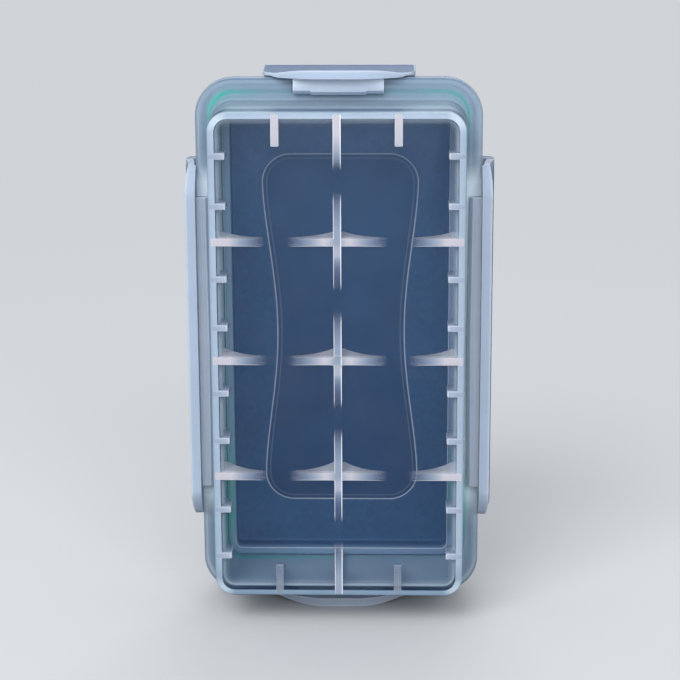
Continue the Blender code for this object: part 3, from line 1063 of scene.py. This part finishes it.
    def tab_sheet(self, z: float, side: int) -> Sheet:
        """Shape one side tab, a small block whose top slopes up to the wall.

        Args:
            z: its middle along the case.
            side: 1 at the right wall and -1 at the left.

        Returns:
            The tab.
        """
        root = CASE.in_x + CASE.wall * self.rib_root
        tip = CASE.in_x - self.tab_reach
        low, top = -self.rib_split, CASE.floor + self.tab_tall
        outline = np.array([[side * root, low], [side * tip, low], [side * tip, top],
                            [side * root, top + self.tab_reach]])
        look = [Skin(0.7, 0.80), Skin(0.9, 0.85), Skin(0.5, 0.7), Skin(0.4, 0.6)]
        corners = np.hstack([outline, np.array(look)])
        section = soften(corners, [0, 0.00030, 0.0004, 0], [0, 1.0, 0.7, 0], closed=True)
        stations = z + self.tab_thick * np.array([-0.5, 0, 0.5])
        return bar_sheet(stations, section,
                         lambda station, across, depth: CASE.place(across, depth, station),
                         end_cut=0.0002, end_glow=0.45)

    def tabs(self) -> list[Sheet]:
        """Shape the tabs that hold short cells square, two to a cell on each side.

        Returns:
            One sheet for each tab. In the inner rows they stand tab_shift nearer to the middle.
        """
        rows = (np.arange(CASE.rows) - (CASE.rows - 1) / 2) * CASE.pitch
        rows -= self.tab_shift * np.sign(rows) * (np.abs(rows) < CASE.pitch)
        return [self.tab_sheet(z + way * self.tab_half_spacing, side)
                for z in rows.tolist() for side in (-1, 1) for way in (-1, 1)]

    def gate(self) -> Sheet:
        """Shape the round mark that the mould's gate leaves at the centre of the floor.

        Each pair in rings is a ring's share of the radius and its depth from the floor's face.

        Returns:
            The mark, a shallow dish with a raised lip.
        """
        radius = self.gate_radius
        rings = np.array([[0.05, 0.00018], [0.25, 0.00016], [0.55, 0.00004], [0.80, -0.00008],
                          [0.92, -0.00008], [1.0, 0.0], [0.95, 0.0005], [0.05, 0.0005]])
        milk = np.array([0.7, 0.6, 0.4, 0.6, 0.7, 0.6, 0.3, 0.3])
        edge = np.array([0.5, 0.3, 0.05, 0.4, 0.5, 0.2, 0, 0])
        turn = np.linspace(0, 2 * math.pi, 40, endpoint=False)
        x = radius * rings[:, :1] * np.cos(turn)
        z = radius * rings[:, :1] * np.sin(turn)
        look = np.stack([milk, 0.6 * milk, edge, 0 * milk, 0 * milk], -1)
        look = np.repeat(look[:, None], turn.size, axis=1)
        return Sheet(CASE.place(x, rings[:, 1:], z), look)

    def build(self) -> list[bpy.types.Object]:
        """Build and dress the tray's pieces.

        Returns:
            The shell and what stands in it, all riding on the base.
        """
        white = RIB_PLASTIC.build()
        pieces = [make_piece("tray_shell", [self.shell()], SHELL_PLASTIC.build()),
                  make_piece("cradle_ribs", self.ribs(), white),
                  make_piece("cell_stops", self.stops(), white),
                  make_piece("side_tabs", self.tabs(), TAB_PLASTIC.build()),
                  make_piece("gate_mark", [self.gate()], white)]
        return stand_in(pieces, "base_tray", "base")


@dataclass
class Lid:
    """The lid: its shell with the sunk dog-bone panel, and the ledges that carry the hinges."""

    edge_round: float = 0.0011
    skirt_corner: float = 0.0015
    plug_wall: float = 0.0012
    bone_length: float = 0.0611
    bone_width: float = 0.0266
    bone_waist: float = 0.0220
    bone_corner: float = 0.0050
    bone_sink: float = 0.0003
    bone_slope: float = 0.0007
    bone_line: float = 0.00016
    bone_far: float = 0.0002
    bone_shift: float = 0.00018
    ledge_thick: float = 0.0014
    ledge_slope: float = 0.0010
    ledge_end: float = 0.0001
    ledge_fall: float = 0.0004
    least_corner: float = 0.0003
    frost_haze: float = 0.105
    bone_haze: float = 0.055
    top_haze: tuple[float, float] = (0.75, 0.40)
    foot_haze: float = 0.15
    plain_rise: float = 0.6
    end_zone: float = 0.003
    lip_fall: tuple[float, float] = (0.15, 0.30)
    lip_start: float = 0.3
    right_fall: float = 0.10
    left_seal: float = 0.24
    foot_seal: float = 0.2

    def skirt_row(self, depth: float, inset: float, skin: Skin, *rounding: float) -> Row:
        """Make a row on the lid's skirt, which narrows toward the lid by lid_draft * distance.

        Args:
            depth: its depth from the tray's outer face.
            inset: how far it is set in from the skirt's outer face.
            skin: how it looks.
            rounding: its corner's cut and glow, where it has them.

        Returns:
            The row.
        """
        inset += CASE.lid_inset + CASE.lid_draft * (depth - CASE.skirt_front)
        corner = max(CASE.flange_corner - inset, self.skirt_corner)
        return Row(depth, CASE.flange_x - inset, CASE.flange_z - inset, corner, 0.0, skin,
                   *rounding)

    def plug_row(self, depth: float, inset: float, skin: Skin, *rounding: float) -> Row:
        """Make a row on the lip that plugs into the tray's mouth with one gap all round.

        Args:
            depth: its depth from the tray's outer face.
            inset: how far it is set in from the lip's outer face.
            skin: how it looks.
            rounding: its corner's cut and glow, where it has them.

        Returns:
            The row.
        """
        out = CASE.mouth - CASE.gap - inset
        corner = max(CASE.tray_corner - CASE.wall + out, self.least_corner)
        return Row(depth, CASE.in_x + out, CASE.in_z + out, corner, 0.0, skin, *rounding)

    def bone_row(self, depth: float, inset: float, skin: Skin, *rounding: float) -> Row:
        """Make a row on the dog-bone outline, set in from it."""
        return Row(depth, self.bone_width / 2 - inset, self.bone_length / 2 - inset,
                   self.bone_corner - inset, (self.bone_width - self.bone_waist) / 2, skin,
                   *rounding)

    def shell(self) -> Sheet:
        """Carry the lid's profile round, from its inner face to the floor of the dog-bone.

        Returns:
            The closed shell.
        """
        out, inner, front = CASE.lid_out, CASE.lid_in, CASE.skirt_front
        low = out - self.bone_sink
        # the lid's inner face is a nearly opaque painted dark, standing in for the shade seen
        # through the case
        painted_dark, cloudy_painted_dark = Skin(0.0, 0.94, frost=0.0), Skin(0.0, 0.95, frost=1.0)
        frosted, smooth = Skin(0.45, 0.58, frost=1.0), Skin(0.35, 0.48, frost=0.1)
        channel, lip = Skin(0.70, 0.45, edge=0.3, seal=0.5), Skin(0.60, 0.82, seal=0.3)
        side, face = Skin(0.60, 0.52), Skin(0.60, 0.46, frost=0.5)
        dim, fair = Skin(0.20, 0.80), Skin(0.75, 0.72)
        line, echo, far = self.bone_line, self.bone_slope + self.bone_far, self.bone_far
        skirt, plug, bone = self.skirt_row, self.plug_row, self.bone_row
        mouth, plug_wall, skirt_wall = CASE.plug_front, self.plug_wall, CASE.skirt_wall
        sheet = shell_sheet([
            # painted highlight lines along the dog-bone's outline on the inner face
            *(bone(inner, inset, skin) for inset, skin in (
                (echo + 3 * line, painted_dark), (echo + line, painted_dark), (echo, painted_dark._replace(edge=0.14)),
                (echo - line, painted_dark), (far + line, painted_dark), (far, painted_dark._replace(edge=0.75)),
                (far - line, cloudy_painted_dark))),
            plug(inner, plug_wall + 0.0012, cloudy_painted_dark),
            plug(inner, plug_wall, cloudy_painted_dark, 0.0004),
            plug(CASE.tray_depth, plug_wall, cloudy_painted_dark._replace(milk=0.1)),
            plug(mouth, plug_wall, lip, 0.00016, 0.7),
            plug(mouth, plug_wall / 2, lip._replace(seal=0.8)),
            plug(mouth, 0, lip._replace(seal=1.0), 0.00016, 0.7),
            plug(inner, 0, channel),
            skirt(inner, skirt_wall, channel),
            skirt(front + 0.0004, skirt_wall, dim),
            skirt(front, skirt_wall, dim, 0.0001),
            skirt(front, skirt_wall - 0.0002, fair),
            skirt(front, 0.0002, fair),
            skirt(front, 0, dim, 0.0001),
            skirt(front + 0.0004, 0, dim),
            skirt(front + 0.0010, 0, side),
            skirt(out, 0, Skin(0.8, 0.5), self.edge_round, 0.10),
            skirt(out, 0.0022, face),
            skirt(out, 0.0040, Skin(0.40, 0.45, frost=0.9)),
            skirt(out, 0.0052, frosted),
            bone(out, -0.0003, frosted),
            bone(out, 0, frosted, 0.00020, 0.85),
            bone(low, self.bone_slope, smooth, 0.00016, 0.30),
            bone(low, self.bone_slope + 0.0004, smooth)])
        self.shade(sheet)
        return sheet

    def shade(self, sheet: Sheet) -> None:
        """Vary the shell's skin along its frame.

        With z from -1 at the foot to 1 at the top, the inner face gets painted light toward the top
        by shares of z and z^6, and its frosting toward the foot by a share of (-z - 0.5)^1.3. The
        lip's outer edge gets a painted highlight on the left, and its inner edge on the right and
        at the foot.
        The lip gets painted shade toward the foot and on the right, and the seal's painted green
        glow shows more on the left. The dog-bone's lines on the inner face are moved up by
        bone_shift.

        Args:
            sheet: the shell.
        """
        x, depth, z = CASE.unplace(sheet.places)
        milk, body, edge, frost, seal = np.moveaxis(sheet.look, -1, 0)
        deep = (body > 0.9) & (np.abs(depth - CASE.lid_in) < CASE.gap)
        # painted light on the inner face toward the top, and on its frosting toward the foot
        height = z / CASE.in_z
        over, under = np.maximum(height, 0) ** 6, np.maximum(-height - 0.5, 0) ** 1.3
        frosted, plain = self.top_haze
        haze_and_light = np.where(frost > 0.5, self.frost_haze + self.bone_haze * height + frosted * over
                        + self.foot_haze * under,
                        self.bone_haze * (height + self.plain_rise) + plain * over)
        milk[...] = np.where(deep, milk + haze_and_light, milk)
        half = np.abs(x).max(axis=1, keepdims=True)
        bone = np.abs(half - self.bone_width / 2) < 2 * self.bone_slope
        sheet.places[..., 2] += self.bone_shift * (bone & (depth < CASE.lid_in + CASE.gap))
        # painted highlights on the lip's edges, on one side or the other
        lip = depth < CASE.plug_front + CASE.gap
        outer = half > CASE.in_x + CASE.mouth - CASE.gap - self.plug_wall / 2
        ends = np.abs(z) > CASE.in_z - self.end_zone
        lit = np.where(outer, (x < 0) & ~ends, ((x > 0) & ~ends) | (z < 0) & ends)
        edge[...] = np.where(lip, edge * lit, edge)
        # painted shade on the lip toward the foot and on the right
        left, right = self.lip_fall
        painted_shade = np.where(x > 0, right, left) * np.clip(self.lip_start - height, 0, 1)
        milk[...] = np.where(lip & ~ends, milk - painted_shade - self.right_fall * (x > 0), milk)
        # the seal's painted green glow, stronger on the left
        seal *= self.left_seal * (x < 0) + seal_spots(x, z)
        seal *= np.where(lip & ends & (z < 0), self.foot_seal, 1)

    def ledge(self, wing: "Wing") -> Sheet:
        """Shape the ledge that carries one latch's film hinge.

        Args:
            wing: the latch that hangs on it.

        Returns:
            The ledge.
        """
        reach = wing.edge.reach
        inner = reach - CASE.lid_inset - CASE.skirt_wall * 0.6
        outer = reach + wing.hinge_out
        front = CASE.hinge_depth + CASE.gap / 2
        back = front + self.ledge_thick
        outline = np.array([[front, inner], [front, outer], [back, outer - self.ledge_fall],
                            [back + self.ledge_slope, inner]])
        skin = np.array([Skin(0.3, 0.7), Skin(0.0, 0.8), Skin(0.0, 0.7), Skin(0.3, 0.5)])
        section = soften(np.hstack([outline, skin]), [0, 0.00015, 0.0003, 0], [0, 0.6, 0.4, 0],
                         closed=True)
        half = wing.half + self.ledge_end
        return bar_sheet(np.array([-half, 0.0, half]), section, wing.edge.place, end_cut=0.00012,
                         end_glow=0.6)

    def build(self, wings: Sequence["Wing"]) -> list[bpy.types.Object]:
        """Build and dress the lid.

        Args:
            wings: the latches that hang on it.

        Returns:
            The shell and the ledges, riding on the lid.
        """
        pieces = [make_piece("lid_shell", [self.shell()], LID_PLASTIC.build()),
                  make_piece("hinge_ledges", [self.ledge(wing) for wing in wings],
                             LATCH_PLASTIC.build())]
        return stand_in(pieces, "lid_cover", "lid")


@dataclass
class Gasket:
    """The rubber seal in the lid's channel."""

    out: float = 0.00025
    round: float = 0.0005
    inner_shade: float = 0.6

    def build(self) -> list[bpy.types.Object]:
        """Build and dress the seal, a ring with a round-cornered section.

        Returns:
            The seal, riding on the lid.
        """
        inside = CASE.in_x + CASE.mouth
        front, back = CASE.gasket_front, CASE.gasket_front + CASE.gasket_thick
        channel = (CASE.flange_x - CASE.lid_inset - CASE.skirt_wall
                   - CASE.lid_draft * (CASE.lid_in - CASE.skirt_front))
        width = channel - CASE.gap - inside
        corner = CASE.tray_corner - CASE.wall + CASE.mouth
        length = inside + CASE.in_z - CASE.in_x + self.out
        rows = np.array([[depth, inside + step, length + step, corner + step, 0,
                          # painted shade toward the seal's outer side, where the skirt shades it
                          *Skin(1 - self.inner_shade * step / width, 1)]
                         for depth, step in ((front, 0), (front, width / 2), (front, width),
                                             (back, width), (back, 0))])
        profile = soften(rows, [self.round, 0, self.round, self.round, self.round], [0] * 5,
                         closed=True, steps=7)
        seal = make_piece("seal_ring", [ring_sheet(profile, ring=True)], SealRubber().build())
        return stand_in([seal], "gasket_seal", "lid")


@dataclass
class Wing:
    """One latch wing with its flared lip and hook, and the film that hinges it to the lid."""

    edge: Edge
    half: float
    hook_half: float
    hook_reach: float
    tip_out: float
    hinge_out: float
    dip: float
    corner_long: float
    corner_back: float
    pad_half: float = 0.0
    pad_out: float = 0.0002
    tip: float = 0.0037
    dip_back: float = 0.0034
    corner_power: float = 1.7
    thick: float = 0.0013
    lip_in: float = 0.00025
    lip_slope: float = 0.00025
    lip_fade: float = 0.0006
    corner_round: float = 0.0010
    end_milky: float = 0.0012
    end_milk: float = 0.85
    end_dull: float = 0.6
    face_milk: float = 0.25
    face_rise: float = 0.8
    hook_root: float = 0.6
    hook_thick: float = 0.0014
    hook_chamfer: float = 0.0006
    film_thick: float = 0.00022
    film_half: float = 0.0007
    film_sink: float = 0.00016
    film_drop: float = 0.00008
    film_short: float = 0.0009

    @property
    def word(self) -> str:
        """The edge's name in lower case."""
        return self.edge.name.lower()

    def outer(self, depth: Array) -> Array:
        """Work out how far the wing stands off the flange.

        From the lip's tip it falls by dip * s^2 (3 - 2s), then climbs to the hinge by s ^ 1.5.

        Args:
            depth: distances from the tray's outer face.

        Returns:
            Distances out from the flange's edge.
        """
        start = CASE.flange_front - self.tip
        lowest = start + self.dip_back
        near = np.clip((depth - start) / self.dip_back, 0, 1)
        far = np.clip((depth - lowest) / (CASE.hinge_depth - lowest), 0, 1)
        lip = self.tip_out - self.dip * near ** 2 * (3 - 2 * near)
        climb = self.hinge_out - (self.hinge_out - self.tip_out + self.dip) * (1 - far ** 1.5)
        return np.where(depth < lowest, lip, climb)

    def back(self, along: Array) -> Array:
        """Work out how far the free edge curves back toward its ends.

        The curve is corner_back * s ^ corner_power, plus a small quarter circle at the end.

        Args:
            along: distances from the wing's middle.

        Returns:
            Distances back from the lip's foremost depth.
        """
        part = np.clip((np.abs(along) - self.half + self.corner_long) / self.corner_long, 0, 1)
        over = np.clip((np.abs(along) - self.half + self.corner_round) / self.corner_round, 0, 1)
        rounding = self.corner_round * (1 - np.sqrt(1 - over ** 2))
        return self.corner_back * part ** self.corner_power + rounding

    def wing_sheet(self) -> Sheet:
        """Carry the wing's section along the edge, with the free edge following its outline.

        The outer face is milkier toward its free edge by (1 - share)^5, where share falls from 1 at
        the hinge to 0 at that edge. Within end_milky of the wing's ends the skin goes over to the
        end's milk, by the square of how far in a point lies: milkier plastic with painted light
        that lifts the ends' shade.

        Returns:
            The wing without its hook.
        """
        turn = np.radians(np.linspace(0, 90, 9))
        straight = np.linspace(0, self.half - self.corner_long, 8)
        slope = np.linspace(self.half - self.corner_long, self.half - self.corner_round, 16)[1:]
        close = self.half - self.corner_round * (1 - np.sin(turn[1:]))
        side = np.concatenate([straight, slope, close])
        along = np.concatenate([-side[::-1], side[1:]])
        reach, step = self.edge.reach, CASE.hook_depth
        end = CASE.hinge_depth - CASE.gap / 2
        tip = (CASE.flange_front - self.tip + self.back(along))[:, None]
        share = np.linspace(1, 0, 22) ** 1.4
        depth = tip + (end - tip) * share
        outer = np.stack([depth, reach + self.outer(depth)], axis=-1)
        notch = np.maximum(step, tip + CASE.gap)
        same = np.ones_like(tip)
        inner_depth = [tip, notch, notch + self.lip_slope, same * CASE.flange_back, same * end]
        deep = np.maximum(CASE.gap, self.outer(np.array([CASE.flange_back, end])) - self.thick)
        lip = CASE.gap - self.lip_in * np.clip((step - tip) / self.lip_fade, 0, 1)
        inner_out = [lip, lip, same * CASE.gap, same * deep[0], same * deep[1]]
        inner = np.stack([np.hstack(inner_depth), reach + np.hstack(inner_out)], axis=-1)
        points = np.concatenate([outer, inner], axis=1)
        count = share.size
        look = np.empty((*points.shape[:2], len(Skin._fields)))
        look[...] = Skin(0.9, 0.92, edge=0.95)
        look[:, count + 2:] = Skin(0.55, 0.90)
        look[:, :count] = Skin(self.face_milk, 0.88)
        look[:, :count, MILK_AT] += self.face_rise * self.face_milk * (1 - share) ** 5
        look[:, count - 2:count + 2] = Skin(0.86, 0.90)
        # milkier ends, partly painted light that lifts their shade
        near = np.clip(1 - (self.half - np.abs(along)) / self.end_milky, 0, 1)[:, None] ** 2
        look[..., MILK_AT] += (self.end_milk - look[..., MILK_AT]) * near
        cuts, glow = np.zeros((2, points.shape[1]))
        corners = [0, count - 1, count, count + 4]
        cuts[corners] = 0.0002, 0.0004, 0.0002, 0.0001
        glow[corners] = 0.5, 0.2, 0.4, 0.0
        section = soften(np.concatenate([points, look], axis=-1), cuts, glow, closed=True)
        section[..., EDGE_AT] *= 1 - self.end_dull * near
        return bar_sheet(along, section, self.edge.place, end_cut=0.0001, end_glow=0.35)

    def hook_sheet(self) -> Sheet:
        """Shape the hook, a bar with a chamfered nose that holds in front of the flange.

        Returns:
            The hook, whose middle reaches further by pad_out where it has a pad.
        """
        step = CASE.hook_depth
        near = step - self.hook_thick
        inner = self.edge.reach - self.hook_reach
        root = self.edge.reach + self.tip_out * self.hook_root
        outline = np.array([[near, root], [step, root], [step, inner],
                            [near + self.hook_chamfer, inner], [near, inner + self.hook_chamfer]])
        # painted light on the hook's face at its root, lifting the shade of the wing's lip
        look = np.array([Skin(1.0, 0.92, edge=0.95), Skin(0.7, 0.5), Skin(0.7, 0.5),
                         Skin(0.85, 0.86), Skin(0.85, 0.86)])
        section = soften(np.hstack([outline, look]), [0, 0, 0.0001, 0.00018, 0.00018],
                         [0, 0, 0.6, 0.9, 0.4], closed=True)
        stations = self.hook_half * np.array([-1.0, 0.0, 1.0])
        if self.pad_half:
            ramp = np.array([self.pad_half + CASE.gap / 3, self.pad_half])
            stations = np.concatenate([stations[:1], -ramp, ramp[::-1], stations[2:]])
        sections = np.repeat(section[None], stations.size, axis=0)
        nose = section[:, 1] < self.edge.reach
        padded = np.abs(stations) <= self.pad_half
        sections[..., 1] -= self.pad_out * padded[:, None] * nose
        return bar_sheet(stations, sections, self.edge.place, end_cut=0.00015, end_glow=0.8)

    def film_sheet(self) -> Sheet:
        """Shape the film hinge, a thin strip that sags a little between the ledge and the wing.

        Across it the depth runs from the ledge's side to the wing's and back underneath, and it
        stands film_sink * (1 - cos) below the outer faces at its middle.

        Returns:
            The film.
        """
        across = np.linspace(1, -1, 15)
        level = self.edge.reach + self.hinge_out - self.film_drop
        sag = self.film_sink * (1 + np.cos(math.pi * across)) / 2
        top = np.stack([CASE.hinge_depth + self.film_half * across, level - sag], -1)
        outline = np.concatenate([top, top[::-1] - np.array([0.0, self.film_thick])])
        section = np.hstack([outline, np.tile(Skin(0.1, 0.35), (len(outline), 1))])
        stations = np.linspace(-1, 1, 13) * (self.half - self.film_short)
        return bar_sheet(stations, section, self.edge.place, end_cut=0.00008, end_glow=0.0)

    def build(self) -> list[bpy.types.Object]:
        """Build and dress the wing and its film.

        Returns:
            The wing, riding on its latch, and the film, set in place between the lid and it.
        """
        plastic = LATCH_PLASTIC.build()
        body = f"{self.word}_latch"
        wing = make_piece(f"{self.word}_wing", [self.wing_sheet(), self.hook_sheet()], plastic)
        film = make_piece(f"{self.word}_film_hinge", [self.film_sheet()], plastic)
        film.modifiers.clear()
        level = self.edge.reach + self.hinge_out
        start, end = (self.edge.place(0.0, CASE.hinge_depth + way * CASE.gap / 2, level)
                      for way in (1, -1))
        tuple(start)
        tuple(end)
        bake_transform(film)
        return stand_in([wing], f"latch_{self.word}", body) + [film]


def end_wing(edge: Edge) -> Wing:
    """Size a latch for one of the short edges."""
    return Wing(edge, half=0.0124, hook_half=0.00735, hook_reach=0.0025, tip_out=0.0015,
                hinge_out=0.0015, dip=0.0007, corner_long=0.0093, corner_back=0.0045,
                pad_half=0.00445, face_milk=0.0, end_milky=0.0004, corner_round=0.0008)


def side_wing(edge: Edge) -> Wing:
    """Size a latch for one of the long edges."""
    return Wing(edge, half=0.0301, hook_half=0.0248, hook_reach=0.0021, tip_out=0.0016,
                hinge_out=0.00225, dip=0.0004, corner_long=0.0050, corner_back=0.0028,
                lip_in=0.0004, end_milky=0.0030)


LAMPS: dict[str, tuple[Place, float]] = {
    "key_softbox": ((-0.35, -0.75, 0.75), 8.5),
    "fill_softbox": ((0.22, -0.88, 0.48), 5.2),
    "back_softbox": ((0.1, 0.9, 0.7), 4.0),
}


@dataclass
class Studio:
    """The plain room: floor, lamps, world and camera."""

    lamp_size: float = 0.6
    floor_size: float = 3.0
    floor_colour: Colour = (0.52, 0.53, 0.55)
    bounce_colour: Colour = (0.24, 0.25, 0.27)
    world_colour: Colour = (0.96, 0.98, 1.0)
    world_strength: float = 0.62
    backdrop_colour: Colour = (0.63, 0.65, 0.68)
    fade_start: float = 0.11
    fade_end: float = 0.42
    camera_place: Place = (0.00895, -0.31695, 0.12690)
    pitch: float = 14.22
    yaw: float = -1.60
    roll: float = -0.27
    focal_pixels: float = 1967.8
    frame_pixels: float = 680.0
    sensor: float = 36.0
    clip_start: float = 0.01
    clear_bounces: int = 40

    def floor(self) -> None:
        """Lay the floor, a square of plain diffuse card that fades into the backdrop far off."""
        half = self.floor_size
        mesh = bpy.data.meshes.new("studio_floor")
        mesh.from_pydata([(-half, -half, 0), (half, -half, 0), (half, half, 0), (-half, half, 0)],
                         [], [(0, 1, 2, 3)])
        tree = NodeTree(bpy.data.materials.new("studio_card"))
        seen = tree.seen()
        shown, bounced = (tree.add("BsdfDiffuse", {"Color": (*colour, 1.0)})
                          for colour in (self.floor_colour, self.bounce_colour))
        card = tree.shader_mix(seen, bounced, shown)
        away = tree.add("VectorMath", {"0": tree.add("TexCoord").outputs["Object"]},
                        operation="LENGTH").outputs["Value"]
        fade = tree.add("MapRange", {"Value": away, "From Min": self.fade_start,
                                     "From Max": self.fade_end}, interpolation_type="SMOOTHSTEP")
        hidden = tree.math("MULTIPLY", fade.outputs[0], seen)
        backdrop = tree.add("Emission", {"Color": (*self.backdrop_colour, 1.0)})
        mesh.materials.append(tree.finish(tree.shader_mix(hidden, card, backdrop)))
        floor = bpy.data.objects.new("studio_floor", mesh)
        bpy.context.scene.collection.objects.link(floor)

    def world(self) -> None:
        """Fill the room with even light and show a pale backdrop."""
        world = bpy.data.worlds.new("studio_world")
        bpy.context.scene.world = world
        tree = NodeTree(world)
        light = tree.add("Background", {"Color": (*self.world_colour, 1.0),
                                        "Strength": self.world_strength})
        shown = tree.add("Background", {"Color": (*self.backdrop_colour, 1.0)})
        tree.finish(tree.shader_mix(tree.seen(), light, shown))

    def lamp(self, name: str, place: Place, power: float) -> None:
        """Hang one soft lamp that faces the case.

        Args:
            name: its name.
            place: where it hangs.
            power: its strength in watts.
        """
        data = bpy.data.lights.new(name, "AREA")
        data.size = self.lamp_size
        data.energy = power
        lamp = bpy.data.objects.new(name, data)
        target = Vector((0, 0, CASE.centre_height))
        lamp.location = place
        lamp.rotation_euler = (target - lamp.location).to_track_quat("-Z", "Y").to_euler()
        bpy.context.scene.collection.objects.link(lamp)

    def camera(self) -> None:
        """Stand the camera where the photograph was taken from."""
        data = bpy.data.cameras.new("camera")
        data.sensor_width = self.sensor
        data.lens = self.focal_pixels / self.frame_pixels * self.sensor
        data.clip_start = self.clip_start
        camera = bpy.data.objects.new("camera", data)
        pitch, yaw = math.radians(self.pitch), math.radians(self.yaw)
        forward = Vector((math.sin(yaw) * math.cos(pitch), math.cos(yaw) * math.cos(pitch),
                          -math.sin(pitch)))
        right = Vector((math.cos(yaw), -math.sin(yaw), 0))
        up = right.cross(forward)
        turn = Matrix((right, up, -forward)).transposed()
        roll = Matrix.Rotation(math.radians(self.roll), 3, "Z")
        camera.matrix_world = Matrix.Translation(self.camera_place) @ (turn @ roll).to_4x4()
        bpy.context.scene.collection.objects.link(camera)
        bpy.context.scene.camera = camera

    def build(self) -> None:
        """Set up the room."""
        self.floor()
        self.world()
        for name, (place, power) in LAMPS.items():
            self.lamp(name, place, power)
        self.camera()
        scene = bpy.context.scene
        scene.view_settings.view_transform = "Standard"
        scene.cycles.transparent_max_bounces = self.clear_bounces


def main() -> None:
    """Build the studio and the case's sub-assemblies in order, and log each piece."""
    logging.basicConfig(level=logging.INFO, format="%(name)s: %(message)s")
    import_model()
    Studio().build()
    wings = [end_wing(Edge.TOP), side_wing(Edge.RIGHT), end_wing(Edge.BOTTOM), side_wing(Edge.LEFT)]
    pieces = Tray().build() + Lid().build(wings) + Gasket().build()
    for wing in wings:
        pieces += wing.build()
    for piece in pieces:
        LOG.info("%s has %d faces", piece.name, len(piece.data.polygons))


if __name__ == "__main__":
    main()
